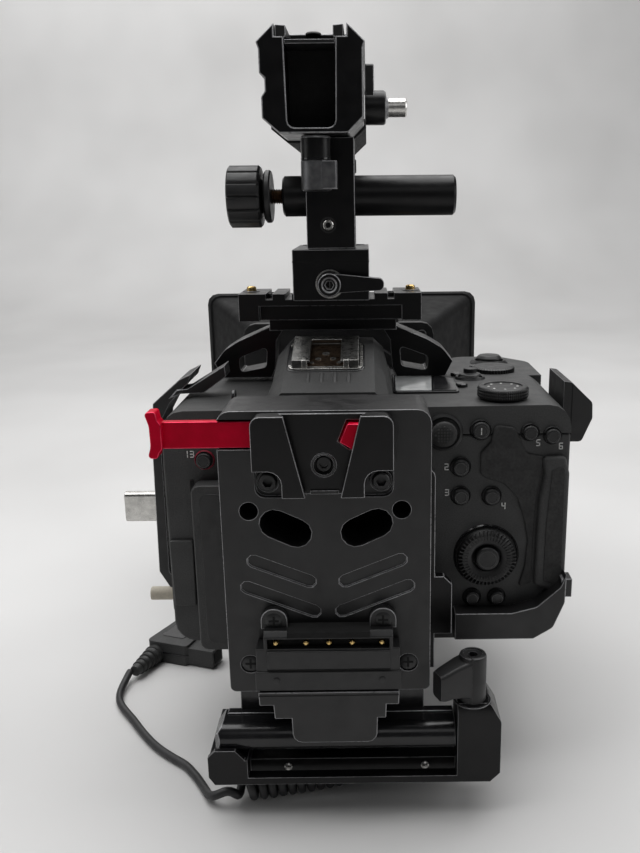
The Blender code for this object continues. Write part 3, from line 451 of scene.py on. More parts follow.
def cross_screw(name, centre, radius, face):
    """A countersunk cross-head screw that faces the rear."""
    x, z = centre
    head = lathe([(radius, face + 1.0), (radius, face - 0.1), (radius - 0.4, face - 0.35)], "Y", centre, 32)
    make(name, head, "plastic_black")
    # The cross is painted shade: near-black blocks standing in for the dark recess
    cross = bmesh.new()
    for across, up, lift in ((radius * 0.6, 0.35, 0.42), (0.35, radius * 0.6, 0.44)):
        block((x - across, face - lift, z - up), (x + across, face - 0.2, z + up), cross)
    make(f"{name}_cross", cross, "painted_shade")


# ---------------------------------------------------------------- power cord
def smooth_route(points, spacing):
    """A smooth curve through the route's own points, sampled at an even spacing."""
    dense = []
    count, fine = len(points), 24
    for index in range(count - 1):
        p0 = Vector(points[max(index - 1, 0)])
        p1, p2 = Vector(points[index]), Vector(points[index + 1])
        p3 = Vector(points[min(index + 2, count - 1)])
        for step in range(fine):
            t = step / fine
            dense.append(0.5 * ((2 * p1) + (p2 - p0) * t + (2 * p0 - 5 * p1 + 4 * p2 - p3) * t * t
                                + (3 * p1 - p0 - 3 * p2 + p3) * t ** 3))
    dense.append(Vector(points[-1]))
    total = sum((b - a).length for a, b in zip(dense, dense[1:]))
    parts = max(1, round(total / spacing))
    wanted = total / parts
    kept, walked = [dense[0]], 0.0
    for a, b in zip(dense, dense[1:]):
        step = (b - a).length
        while step > 0 and walked + step >= wanted * len(kept) and len(kept) < parts:
            kept.append(a.lerp(b, (wanted * len(kept) - walked) / step))
        walked += step
    kept.append(dense[-1])
    return kept


def helix_points():
    """The curly part: a helix wound round the curl's route, opening and closing at its ends."""
    line = smooth_route(CURL_ROUTE, CURL_PITCH / TURN_POINTS)
    side = Vector((0, 1, 0))
    ramp = TURN_POINTS * RAMP_TURNS
    points = []
    turn = 0.0
    for index, here in enumerate(line):
        ahead = line[min(index + 1, len(line) - 1)]
        behind = line[max(index - 1, 0)]
        along = (ahead - behind).normalized()
        side = (side - along * side.dot(along)).normalized()
        open_share = min(1.0, index / ramp, (len(line) - 1 - index) / ramp)
        turn += 2 * math.pi / TURN_POINTS * open_share
        reach = CURL_MEAN * math.sin(open_share * math.pi / 2)
        points.append(here + reach * (math.cos(turn) * side + math.sin(turn) * along.cross(side)))
    return points


def make_cord():
    """The power cord from its gland to its plug, in one piece, with the pieces that go with it."""
    points = [Vector(CORD_EXIT)] + helix_points()[1:-1] + smooth_route(LEAD_ROUTE, LEAD_SPACING)
    curve = bpy.data.curves.new("power_cord", "CURVE")
    curve.dimensions = "3D"
    curve.bevel_depth = CORD_RADIUS * MM
    curve.bevel_resolution = 3
    curve.use_fill_caps = True
    spline = curve.splines.new("POLY")
    spline.points.add(len(points) - 1)
    for slot, point in zip(spline.points, points):
        slot.co = (*(point * MM), 1.0)
    spline.use_smooth = True
    cord = bpy.data.objects.new("power_cord", curve)
    bpy.context.collection.objects.link(cord)
    curve.materials.append(FINISH["cable_black"][0])
    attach(cord, "root")
    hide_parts("cord_lead", "cord_curl")
    pieces = [frame["nodes"]["power_plug"], frame["nodes"]["cord_gland"]] + make_plug_details()


def turn_to_plug(shape):
    """From the plug's own axes to its place on the floor."""
    turn = Matrix.Translation(PLUG_PLACE) @ Matrix.Rotation(math.radians(PLUG_TURN), 4, "Z")
    bmesh.ops.transform(shape, matrix=turn, verts=shape.verts)
    return shape


def make_plug_details():
    """Ribs round the boot, the slot in the nose as a near-black block of painted shade, a seam round the
    body and a pad on its top.
    """
    ribs = bmesh.new()
    for index in range(5):
        near = -1.4 - index * 2.9
        radius = 4.45 - index * 0.34
        rib = [(radius - 0.5, near), (radius, near - 0.3), (radius, near - 1.1), (radius - 0.5, near - 1.4)]
        lathe(rib, "Y", (4.5, 4.4), 32, shape=ribs)
    # Painted shade: a near-black block for the slot in the nose
    slot = block((33.2, 2.4, 2.4), (33.8, 8.6, 7.4))
    outline = rounded([(-0.25, -0.25, 2), (21.25, -0.25, 2), (21.25, 31.25, 6), (3.9, 31.25, 6)])
    pad = rounded([(4, 6, 1.5), (16, 6, 1.5), (16, 22, 1.5), (6.2, 22, 1.5)])
    pieces = (("plug_boot_ribs", ribs, "soft_rubber", 0), ("plug_nose_slot", slot, "painted_shade", 0),
              ("plug_seam", prism(outline, "Z", 5.0, 5.5), "gloss", 0),
              ("plug_pad", prism(pad, "Z", 10.1, 10.45), "gloss", 0.1))
    return [make(name, turn_to_plug(shape), finish, bevel=bevel) for name, shape, finish, bevel in pieces]


# ---------------------------------------------------------------- base and battery plate
def make_base_details():
    """The base's jaw screws, the crossbar's screws, the bar's step and the clamp lever."""
    low, high = box_of("clamp_base")
    for index, y in enumerate((-77.6, -70.4)):
        socket_screw(f"jaw_screw_{index}", (y, 21.0), "X", 2.6, high.x - 0.6, high.x + 0.4)
        socket_screw(f"jaw_screw_left_{index}", (y, 19.5), "X", 2.2, low.x + 0.6, low.x - 0.3)
    screws = bmesh.new()
    for x in (-14.5, 33.0):
        lathe([(1.4, -74.4), (1.4, -75.5), (1.0, -75.8)], "Y", (x, 15.0), 24, shape=screws)
    make("crossbar_screws", screws, "steel")
    make("bar_step", block((-35.4, -70.9, 32.6), (43.0, -67.6, 33.5)), "bar_black", bevel=0.25)
    make_clamp_lever()


def make_clamp_lever():
    """The lever's hub with its socket, and the arm, which hangs down and outward from it."""
    low, high = box_of("clamp_lever")
    axis = x, y = 48.6, -77.6
    top = high.z
    hub = [(4.6, low.z), (4.6, top - 1.0), (4.3, top - 0.3), (3.7, top), (3.3, top), (3.2, top - 0.5),
           (2.4, top - 0.5), (1.5, top - 0.5, 1), (1.5, top - 3.0, 1)]
    shape = lathe(hub, "Z", axis, 48)
    rings = []
    for reach, under, over, half in ((2.0, 44.2, 58.4, 3.9), (5.5, 45.4, 57.6, 3.7), (8.5, 45.8, 56.7, 3.4),
                                     (11.5, 45.6, 55.6, 3.3), (13.4, 45.9, 54.9, 2.9)):
        outline = rectangle(y - half, y + half, under, over, 1.2, 4)
        rings.append([(x - reach, across, up) for across, up in outline])
    loft(rings, shape)
    arm = [v for v in shape.verts if v.co.x < x - 1.99 and abs(v.co.y - y) < 4.0]
    bmesh.ops.rotate(shape, verts=arm, cent=(x, y, 0), matrix=Matrix.Rotation(math.radians(24), 3, "Z"))
    make("clamp_lever_body", shape, "anodised_black", "clamp_lever", bevel=0.3, replaces=["clamp_lever"])
    make("clamp_lever_seat", washer(5.6, 6.4, 42.1, 42.5, "Z", axis), "anodised_black", bevel=0.1)


def make_plate_details():
    """Screws of the battery plate and its wedge, then the release slide and the connector."""
    low, high = box_of("battery_plate")
    face = low.y
    for index, centre in enumerate(((-16.9, 120.6), (18.5, 120.6))):
        socket_screw(f"wedge_screw_{index}", centre, "Y", 2.8, face + 2.1, face - 0.4)
        seat = [(3.0, face + 2.1), (3.0, face + 0.9), (3.6, face + 0.9), (3.8, face + 2.1)]
        make(f"wedge_seat_{index}", lathe(seat, "Y", centre, 36, closed=True), "anodised_black", bevel=0.1)
    middle = (0.8, 126.6)
    socket_screw("wedge_centre_screw", middle, "Y", 2.6, face + 0.2, face - 0.9)
    ring = washer(3.1, 3.7, face - 1.5, face - 2.05, "Y", middle, 40)
    make("wedge_centre_ring", ring, "anodised_black", bevel=0.1)
    lip = block((-3.6, face - 2.6, 117.4), (5.4, face - 1.9, 118.6))
    make("wedge_floor_lip", lip, "anodised_black", bevel=0.15)
    for index, x in enumerate((-25.1, 26.9)):
        cross_screw(f"plate_screw_{index}", (x, 57.7), 2.9, face + 0.5)
    rear = bmesh.new()
    for x in (-26, 28):
        for z in (60, 120):
            lathe([(2.4, high.y - 0.1), (2.4, high.y + 0.22)], "Y", (x, z), 24, shape=rear)
    make("plate_back_screws", rear, "steel")
    make_release_lever()
    make_connector_details(face)
    make_contacts()


def make_release_lever():
    """The red slide: a bar in the plate's groove, a flared thumb end and the latch wedge."""
    low, high = box_of("release_lever")
    rear, front = low.y + 4.7, high.y - 0.3
    shape = block((low.x + 2.2, rear, low.z + 2.6), (12.2, front, low.z + 11.0))
    thumb = rounded([(low.x - 0.1, 143.8, 1.0), (low.x + 3.4, 144.0, 0.8), (low.x + 3.9, 141.2, 1.2),
                     (low.x + 4.9, 139.8), (low.x + 4.9, 132.2), (low.x + 3.8, 131.0, 1.2),
                     (low.x + 3.3, 129.2, 1.0), (low.x + 0.2, 129.3, 1.0), (low.x + 1.3, 133.0, 6),
                     (low.x + 1.2, 139.6, 6)], steps=4)
    prism(thumb, "Y", low.y + 2.4, high.y, shape)
    wedge = [(8.4, 140.2), (13.4, 140.2), (13.4, 132.4), (9.4, 132.4), (5.9, 134.5)]
    prism(wedge, "Y", low.y, rear + 0.5, shape)
    make("release_lever_body", shape, "anodised_red", "release_lever", bevel=0.25,
         replaces=["release_lever"])


def make_connector_details(face):
    """The connector's panel and step, its two screw bosses, and the groove of the cover below; the gap, the
    band across the top ledge and the groove are near-black painted shade.
    """
    low, high = box_of("connector_block")
    panel = prism(rectangle(-18.7, 20.9, 60.0, 66.3, 0.5), "Y", low.y + 0.1, low.y - 0.6)
    make("connector_panel", panel, "plastic_black", bevel=0.25)
    # Painted shade: a near-black line in the gap between panel and step
    gap = block((-18.7, low.y - 0.12, 59.1), (20.9, low.y + 0.2, 59.95))
    make("connector_gap", gap, "painted_shade")
    step = rectangle(low.x - 0.4, high.x + 0.4, low.z + 0.3, 59.0, 0.4)
    make("connector_step", prism(step, "Y", low.y + 0.6, low.y - 0.45), "plastic_black", bevel=0.25)
    dots = bmesh.new()
    dot = [(1.1, low.y - 0.3), (1.1, low.y - 0.65), (0.8, low.y - 0.75)]
    for x in (-15.8, 18.3):
        lathe(dot, "Y", (x, 56.0), 28, shape=dots)
    make("connector_dots", dots, "plastic_black")
    # Painted shade: a near-black block across the top ledge, for the shade between the ledges
    shade = block((-12.0, low.y - 0.1, 70.8), (14.4, face - 0.4, high.z + 0.12))
    make("connector_painted_shade", shade, "painted_shade")
    for index, x in enumerate((-16.4, 18.7)):
        under = high.z - 0.6
        outline = [(x - 4.3, under), (x + 4.3, under), (x + 4.3, 78.9, 4.1), (x - 4.3, 78.9, 4.1)]
        boss = prism(rounded(outline, steps=6), "Y", face - 0.35, face - 3.2)
        make(f"connector_boss_{index}", boss, "anodised_black", bevel=0.3)
        cross_screw(f"connector_screw_{index}", (x, 74.9), 2.7, face - 3.1)
    cover, far = box_of("lower_cover")
    # Painted shade: a near-black strip in the cover's groove
    groove = block((cover.x + 0.2, cover.y - 0.05, 50.2), (far.x - 0.2, cover.y + 0.4, 50.6))
    make("cover_groove", groove, "painted_shade")


def make_contacts():
    """A near-black strip of painted shade in the connector, and its five brass pins."""
    face = box_of("connector_block")[0].y
    # Painted shade inside the connector opening
    make("contact_strip", block((-17.9, face + 2.7, 67.1), (20.1, face + 3.1, 70.1)), "painted_shade")
    profile = [(0.95, face + 3.0), (0.95, face + 1.4), (0.75, face + 0.6), (0.4, face + 0.3)]
    for index, x in enumerate((-15.8, -6.1, 1.3, 8.7, 18.2)):
        make(f"contact_pin_{index}", lathe(profile, "Y", (x, 68.6), 24), "brass")


# ---------------------------------------------------------------- camera
def make_camera_details():
    make_button_rings()
    make_numbers()
    make_set_wheel()
    make_mode_dial()
    make_joystick_dots()
    make_grip_rubber()
    make_eyecup()
    make_top_details()
    make_side_doors()
    make_lens_release()


def make_button_rings():
    """A ring in the shell round each push button, and a plain ring on its cap."""
    for name in sorted(node for node in frame["nodes"] if node.startswith("button_")):
        low, high = box_of(name)
        centre = centre_of(name, "Y")
        radius = (high.x - low.x) / 2
        rim = [(radius + 0.25, REAR + 0.3), (radius + 0.25, REAR - 0.5), (radius + 0.4, REAR - 0.75),
               (radius + 0.55, REAR - 0.55), (radius + 0.75, REAR + 0.3)]
        finish = "red_mark" if name == "button_rate" else "plastic_black"
        make(f"{name}_ring", lathe(rim, "Y", centre, 40, closed=True), finish)
        cap = washer(radius * 0.60, radius * 0.72, low.y + 0.02, low.y - 0.12, "Y", centre, 32)
        make(f"{name}_cap", cap, "gloss", name)


def stroke_digit(digit, x, z, face, shape):
    """A plain number of straight strokes, standing on a face that looks to the rear."""
    width, height, thick = 1.1, 2.1, 0.17
    lines = {"a": (0, 1, 1, 1), "b": (1, 0.5, 1, 1), "c": (1, 0, 1, 0.5), "d": (0, 0, 1, 0),
             "e": (0, 0, 0, 0.5), "f": (0, 0.5, 0, 1), "g": (0, 0.5, 1, 0.5)}
    strokes = {"1": "bc", "2": "abged", "3": "abgcd", "4": "fgbc", "5": "afgcd", "6": "afgedc"}
    for key in strokes[digit]:
        left, low, right, high = lines[key]
        block((x + (left - 0.5) * width - thick, face - 0.06, z + (low - 0.5) * height - thick),
              (x + (right - 0.5) * width + thick, face + 0.05, z + (high - 0.5) * height + thick), shape)


def make_numbers():
    """The plain numbers beside the keys, and the one on the focus key's cap."""
    beside = bmesh.new()
    for digit, x, z in (("2", 42.0, 114.4), ("3", 42.3, 104.9), ("4", 62.5, 99.6), ("5", 74.0, 122.9),
                        ("6", 82.0, 121.6), ("1", -49.4, 120.1), ("3", -47.2, 120.1)):
        stroke_digit(digit, x, z, REAR, beside)
    make("key_numbers", beside, "white_mark")
    x, z = centre_of("button_focus", "Y")
    cap = bmesh.new()
    stroke_digit("1", x - 0.5, z, box_of("button_focus")[0].y, cap)
    make("focus_key_number", cap, "white_mark", "button_focus")


def make_set_wheel():
    """The ribbed wheel, the well it sits in, and the ring on the button in its middle."""
    low, high = box_of("set_wheel")
    centre = x, z = centre_of("set_wheel", "Y")
    back, front = high.y, low.y
    ring = [(5.0, back), (10.6, back), (10.8, back - 1.2), (10.3, front + 1.2), (8.9, front),
            (6.0, front + 0.3), (5.4, front + 0.7), (5.0, front + 1.0)]
    shape = lathe(ring, "Y", centre, 96, closed=True)
    ribs = 44
    for index in range(ribs):
        angle = 2 * math.pi * index / ribs
        out, up = math.cos(angle), math.sin(angle)
        rib = [(x + a * out - b * up, z + a * up + b * out)
               for a, b in ((7.0, -0.16), (10.4, -0.24), (10.4, 0.24), (7.0, 0.16))]
        prism(rib, "Y", front + 0.9, front - 0.18, shape)
    make("set_wheel_ribbed", shape, "plastic_black", "set_wheel", bevel=0.08, segments=1,
         replaces=["set_wheel"])
    well = [(11.0, REAR + 0.3), (11.0, REAR - 0.3), (11.5, REAR - 0.5), (12.1, REAR + 0.3)]
    make("set_wheel_well", lathe(well, "Y", centre, 72, closed=True), "gloss")
    cap = box_of("set_button")[0].y
    ring = washer(2.9, 3.3, cap + 0.02, cap - 0.12, "Y", centre, 40)
    make("set_button_ring", ring, "gloss", "set_button")


def make_mode_dial():
    """The dial with its crossed knurling, and a ring of plain dots on its top."""
    low, high = box_of("mode_dial")
    centre = centre_of("mode_dial", "Z")
    span = high.z - low.z - 1.0

    def knurl(angle, along):
        share = (along - low.z) / span * 1.6
        return 0.22 * math.cos(36 * angle + 6 * share) * math.cos(36 * angle - 6 * share)

    rows = 12
    side = [(9.0, low.z + 0.4 + span * row / rows, 2) for row in range(rows + 1)]
    top = [(8.5, high.z - 0.2), (7.9, high.z), (6.9, high.z), (6.7, high.z - 0.4), (2.0, high.z - 0.4)]
    profile = [(8.4, low.z)] + side + top
    shape = lathe(profile, "Z", centre, 288, wave=knurl)
    make("mode_dial_knurled", shape, "plastic_black", "mode_dial", replaces=["mode_dial"])
    marks = bmesh.new()
    for index in range(8):
        angle = 2 * math.pi * index / 8
        cx, cy = centre[0] + 5.2 * math.cos(angle), centre[1] + 5.2 * math.sin(angle)
        prism(circle(cx, cy, 0.42, 12), "Z", high.z - 0.45, high.z - 0.28, marks)
    make("mode_dial_marks", marks, "white_mark", "mode_dial")


def make_joystick_dots():
    """The small studs on the joystick's domed top, and the rim round it."""
    top = box_of("joystick")[0].y
    x, z = centre = centre_of("joystick", "Y")
    dots = bmesh.new()
    for row in range(-3, 4):
        for column in range(-3, 4):
            reach = math.hypot(row, column)
            if reach > 3.1:
                continue
            cx, cz = x + column, z + row
            prism(rectangle(cx - 0.3, cx + 0.3, cz - 0.3, cz + 0.3, 0.1, 2), "Y", top + 1.1,
                  top - 0.35 + 0.10 * reach, dots)
    make("joystick_dots", dots, "camera_shell", "joystick")
    rim = [(5.2, REAR + 0.3), (5.2, REAR - 0.8), (5.8, REAR - 1.1), (6.6, REAR - 0.6), (6.9, REAR + 0.3)]
    make("joystick_rim", lathe(rim, "Y", centre, 48, closed=True), "plastic_black")


def make_grip_rubber():
    """The raised thumb rest, the rubber inset beside it, and the rubber round the front of the grip."""
    pad = rounded([(58.6, 129.6, 2), (65.6, 128.7, 2), (67.8, 124.1, 4), (70.0, 119.2, 2), (76.0, 118.0, 1),
                   (75.6, 111.8, 4), (73.9, 101.8, 8), (73.4, 86.6, 8), (73.2, 69.9, 1), (68.4, 68.1, 1),
                   (70.6, 76.3, 6), (71.4, 86.6, 8), (69.9, 94.3, 6), (67.0, 103.2, 6), (62.1, 108.2, 5),
                   (55.9, 110.2, 2), (53.8, 112.0, 1.5), (53.7, 119.4, 2), (57.3, 123.6, 2)], steps=4)
    make("thumb_rest", prism(pad, "Y", REAR + 0.4, REAR - 1.0), "rubber_black", bevel=0.5, segments=4)
    swell = rounded([(75.2, 118.2, 2), (83.6, 118.4, 2), (85.2, 112.0, 3), (85.2, 72.0, 3), (82.0, 66.8, 3),
                     (74.0, 69.6, 2), (74.2, 86.6, 10), (74.7, 101.8, 8), (76.4, 111.8, 3)], steps=5)
    make("grip_swell", prism(swell, "Y", REAR + 0.4, REAR - 2.4), "camera_shell", bevel=1.7, segments=5)
    inset = rounded([(78.8, 113.6, 1), (83.4, 114.8, 1), (83.8, 70.6, 1), (82.2, 69.6, 1), (77.2, 71.6, 1),
                     (77.4, 92.0, 8)], steps=4)
    make("grip_inset", prism(inset, "Y", REAR - 2.2, REAR - 2.75), "rubber_black", bevel=0.2)
    front = box_of("body_front_cover")[1].y
    right = box_of("body_rear_cover")[1].x
    wrap = [(right, 14.0), (right, 40.2), (right - 1.2, 45.0), (right - 4.2, 49.2), (right - 10.4, 53.4),
            (right - 14.0, front), (56.0, front), (49.6, 50.6), (46.0, 44.0)]
    outer = [(right + 0.5, 14.0), (right + 0.5, 40.4), (right - 0.6, 45.4), (right - 3.8, 49.8),
             (right - 10.2, 53.9), (right - 13.9, front + 0.6), (55.8, front + 0.6), (49.2, 51.2),
             (45.4, 44.2)]
    skin = prism(outer + list(reversed(wrap)), "Z", 60.5, 121.0)
    make("grip_front_rubber", skin, "rubber_black", bevel=0.2)


def make_eyecup():
    """The viewfinder's rubber cup, in stepped rings out and back in, with its dark glass."""
    rings = []
    for depth, half, low, high in ((-0.5, 19.5, 113.0, 140.6), (2.6, 20.4, 112.6, 141.4),
                                   (6.8, 19.0, 114.0, 140.2), (9.4, 16.6, 116.6, 137.8),
                                   (9.4, 13.4, 119.4, 135.0), (5.2, 12.2, 120.6, 133.8)):
        outline = rectangle(EYEPIECE_X - half, EYEPIECE_X + half, low, high, 7.5, 6)
        rings.append([(a, REAR - depth, b) for a, b in outline])
    make("eyecup", loft(rings), "soft_rubber", bevel=0.4, segments=3)
    eyepiece = rectangle(EYEPIECE_X - 9.5, EYEPIECE_X + 9.5, 121.6, 132.8, 3.5, 5)
    make("eyepiece_glass", prism(eyepiece, "Y", REAR - 5.3, REAR - 6.2), "glass", bevel=0.3)


def tilt_to_hump(shape):
    """From flat, with the shoe's middle at the origin, to the slope of the viewfinder hump."""
    slope = Matrix.Translation((0, -21, 149.8)) @ Matrix.Rotation(HUMP_SLOPE, 4, "X")
    bmesh.ops.transform(shape, matrix=slope, verts=shape.verts)
    return shape


def make_hot_shoe():
    """The shoe's dark surround, rim, bronze floor, contacts and stops."""
    skirt = prism(rectangle(-15.0, 13.6, -11.8, 11.6, 3.4, 6), "Z", -2.6, 0.25)
    inside = rectangle(-13.2, 11.8, -10.1, 10.1, 2.2, 6)
    rim = prism(rectangle(-14.2, 12.8, -11.0, 10.8, 3.0, 6) + list(reversed(inside)), "Z", 0.1, 0.8)
    floor = prism(rectangle(-9.1, 7.7, -9.8, 7.8), "Z", 1.15, 1.35)
    pads = bmesh.new()
    for x, y, size in ((-3.4, -4.6, 1.1), (2.0, -4.6, 1.1), (-0.7, -0.6, 1.4), (-5.6, -7.6, 0.8),
                       (4.2, -7.6, 0.8)):
        prism(circle(x, y, size, 24), "Z", 1.3, 1.6, pads)
    stops = bmesh.new()
    for x in (-8.2, 6.8):
        block((x - 1.0, -10.4, 0.4), (x + 1.0, -8.6, 3.9), stops)
    for name, shape, finish, bevel, segments in (
            ("surround", skirt, "gloss", 0.5, 3), ("rim", rim, "steel", 0.1, 2),
            ("floor", floor, "bronze", 0, 2), ("contacts", pads, "steel", 0, 2),
            ("stops", stops, "steel", 0.3, 2)):
        make(f"hot_shoe_{name}", tilt_to_hump(shape), finish, bevel=bevel, segments=segments)


def make_top_details():
    """On the top: display, controls, hot shoe, the ribs behind it and the strap lug."""
    deck = box_of("mode_dial")[0].z - GAP
    make_top_display(deck)
    make_top_controls(deck)
    make_hot_shoe()
    ribs = bmesh.new()
    for x in (-6.6, -1.8, 3.0, 7.8):
        side = [(-39.6, 143.2), (-38.4, 144.6), (-33.4, 146.5), (-32.4, 145.4), (-38.4, 142.8)]
        prism(side, "X", x - 0.55, x + 0.55, ribs)
    make("hump_ribs", ribs, "camera_shell", bevel=0.2)
    lug = washer(1.2, 2.6, -33.4, -32.2, "X", (-38.0, 138.6), 32)
    make("strap_lug", lug, "gloss", bevel=0.2)
    make("strap_lug_post", block((-34.0, -39.6, 134.6), (-31.4, -36.4, 137.0)), "gloss", bevel=0.4)


def make_top_display(deck):
    """The top display: its frame, the bright panel and the dim strip to the right of it."""
    surround = rounded([(24.0, -24.6), (48.6, -24.6), (48.6, -1.0), (41.4, 7.2), (24.6, 7.2)], 2)
    make("top_display_frame", prism(surround, "Z", deck - 0.6, deck + 0.5), "gloss", bevel=0.25)
    bright = rounded([(24.9, -23.4, 1), (38.2, -23.4, 0.4), (40.2, 5.6, 0.4), (25.4, 5.6, 1)])
    make("top_display", prism(bright, "Z", deck + 0.3, deck + 0.8), "display", bevel=0.12)
    dim = rounded([(39.0, -23.4, 0.4), (47.6, -23.4, 1), (47.6, -1.6, 1), (40.8, 5.0, 0.4)])
    make("top_display_right", prism(dim, "Z", deck + 0.3, deck + 0.8), "gloss", bevel=0.12)


def make_top_controls(deck):
    """Collars round the two top buttons, the front dial and three small keys."""
    for name, profile in (("record_button", [(5.0, -0.2), (5.0, 0.5), (5.6, 0.7), (6.2, -0.2)]),
                          ("shutter_button", [(6.2, -0.2), (6.2, 0.9), (7.0, 1.1), (8.2, -0.2)])):
        ring = [(radius, deck + rise) for radius, rise in profile]
        collar = lathe(ring, "Z", centre_of(name, "Z"), 48, closed=True)
        make(f"{name}_collar", collar, "plastic_black")
    side = [(4.0, deck - 0.4), (8.6, deck - 0.4, 2), (8.6, deck + 1.4, 2), (7.8, deck + 1.9),
            (4.0, deck + 1.9)]
    dial = lathe(side, "Z", (67.0, 18.0), 180, wave=lambda angle, _: 0.22 * math.cos(45 * angle))
    make("front_dial", dial, "plastic_black")
    for index, centre in enumerate(((50.5, -13.0), (50.5, 8.4), (60.0, 24.0))):
        key = lathe([(2.3, deck - 0.2), (2.3, deck + 0.8), (1.9, deck + 1.1)], "Z", centre, 32)
        make(f"top_key_{index}", key, "gloss")


def make_side_doors():
    """Rubber port doors on the left, the screen's hinge, and the card door on the right of the grip."""
    low, high = box_of("body_rear_cover")
    left = low.x
    doors = bmesh.new()
    for near, far, under, over in ((-43.0, -19.6, 58.0, 88.0), (-43.0, -19.6, 89.0, 118.0),
                                   (-5.6, 7.6, 58.0, 118.0)):
        prism(rectangle(near, far, under, over, 2.4, 5), "X", left + 0.2, left - 0.8, doors)
    make("port_doors", doors, "soft_rubber", bevel=0.35, segments=3)
    panel_low, panel_high = box_of("screen_panel")
    hinge = rounded([(left + 0.9, 62.8, 1), (panel_low.x - 1.6, 62.6, 1), (panel_low.x - 1.4, 88.2, 1),
                     (left + 0.5, 88.2, 1)])
    make("screen_hinge_cover", prism(hinge, "Y", low.y + 0.4, low.y - 1.4), "camera_shell", bevel=0.5,
         segments=3)
    # Painted shade: a near-black block in the recess beside the screen
    recess = block((panel_low.x - 1.3, low.y - 0.4, 49.0), (panel_low.x - 0.1, low.y + 0.3, 110.6))
    make("screen_recess", recess, "painted_shade")
    raised = rectangle(panel_low.x + 3, panel_high.x - 3, panel_low.z + 3, panel_high.z - 3, 3, 5)
    make("screen_back_panel", prism(raised, "Y", panel_low.y + 0.1, panel_low.y - 0.25), "plastic_black",
         bevel=0.2)
    card = rectangle(-42.0, -30.5, 60.0, 110.0, 2.0, 5)
    make("card_door", prism(card, "X", high.x - 0.2, high.x + 0.45), "camera_shell", bevel=0.2)


def make_lens_release():
    """On the front: the lens release key, a small lamp and the leatherette beside the mount."""
    nose = box_of("lens_mount")[0].y - GAP
    button = lathe([(5.4, nose - 0.2), (5.4, nose + 2.4), (4.6, nose + 3.2)], "Y", (-37.5, 78.0), 40)
    make("lens_release_key", button, "plastic_black")
    lamp = lathe([(2.2, nose - 0.2), (2.2, nose + 0.7), (1.6, nose + 1.0)], "Y", (-42.0, 118.0), 32)
    make("front_lamp", lamp, "glass")
    left = box_of("body_rear_cover")[0].x
    panel = rounded([(left + 3, 54, 5), (-31, 54, 3), (-34.5, 72, 4), (-33, 112, 8), (-25, 121, 3),
                     (left + 3, 121, 4)], steps=5)
    make("front_leatherette", prism(panel, "Y", nose - 0.3, nose + 0.4), "rubber_black", bevel=0.2)


# ---------------------------------------------------------------- lens and matte box
def make_lens_details():
    low, high = box_of("lens_barrel")
    centre = (0.0, (low.z + high.z) / 2)
    make_lens_barrel(centre)
    for name, count in (("zoom_ring", 60), ("focus_ring", 84)):
        make_lens_ring(name, count, centre)
    make_front_glass(centre)
    make_lens_scale(centre)


def make_lens_barrel(centre):
    """The barrel with the steps on its outside, its filter thread and its bore."""
    barrel = [(22, 17), (31, 17), (31.6, 18), (31.6, 22), (33.5, 24.0), (38.0, 27.4), (38.5, 28.4),
              (38.5, 33.4), (38.1, 33.6), (38.1, 34.2), (38.5, 34.4), (38.5, 40), (35, 40), (35, 62),
              (38.5, 62), (38.5, 66), (35, 66), (35, 86), (39, 86), (39, 103.4), (38.4, 104), (35.6, 104)]
    for index in range(6):
        near = 103.0 - index * 1.3
        barrel += [(35.4, near), (34.9, near - 0.65)]
    barrel += [(34.2, 95.2), (31.4, 94.0), (29.4, 90.0), (29, 60), (22, 44)]
    shape = lathe(barrel, "Y", centre, 128, closed=True)
    make("lens_barrel_body", shape, "lens_black", replaces=["lens_barrel"])


def make_lens_ring(name, count, centre):
    """A rubber ring with a number of ribs along it."""
    low, high = box_of(name)
    near, far = low.y, high.y
    profile = [(35.4, near), (38.4, near), (38.8, near + 0.8), (38.8, near + 2.6), (39.1, near + 2.8, 2),
               (39.1, far - 2.8, 2), (38.8, far - 2.6), (38.8, far - 0.8), (38.4, far), (35.4, far)]

    def ribs(angle, _):
        return 0.45 * max(-0.4, min(0.8, 1.8 * math.cos(count * angle)))

    shape = lathe(profile, "Y", centre, count * 8, closed=True, wave=ribs)
    make(f"{name}_ribbed", shape, "soft_rubber", name, replaces=[name])


def make_front_glass(centre):
    """The front element: a dome that is part of a large sphere."""
    sphere, rim, apex, spread = 70, 29.2, 90.5, math.radians(26)
    dome = []
    for step in range(9):
        angle = spread * step / 8
        radius = max(rim * math.sin(angle) / math.sin(spread), 0.05)
        dome.append((radius, apex - sphere * (1 - math.cos(angle))))
    make("front_glass", lathe(dome + [(rim, 80.0), (0.05, 80.0)], "Y", centre, 96), "glass")


def make_lens_scale(centre):
    """Long and short ticks across the top of the barrel, between the two rings."""
    marks = bmesh.new()
    for index in range(9):
        angle = math.radians(60 + index * 7.5)
        tick = block((-0.25, 62.8, -0.1), (0.25, 65.2 if index % 2 else 64.4, 0.12))
        foot = Matrix.Translation((38.55 * math.cos(angle), 0, centre[1] + 38.55 * math.sin(angle)))
        turn = foot @ Matrix.Rotation(math.pi / 2 - angle, 4, "Y")
        bmesh.ops.transform(tick, matrix=turn, verts=tick.verts)
        mesh = bpy.data.meshes.new("tick")
        tick.to_mesh(mesh)
        marks.from_mesh(mesh)
        bpy.data.meshes.remove(mesh)
        tick.free()
    make("lens_scale", marks, "white_mark")


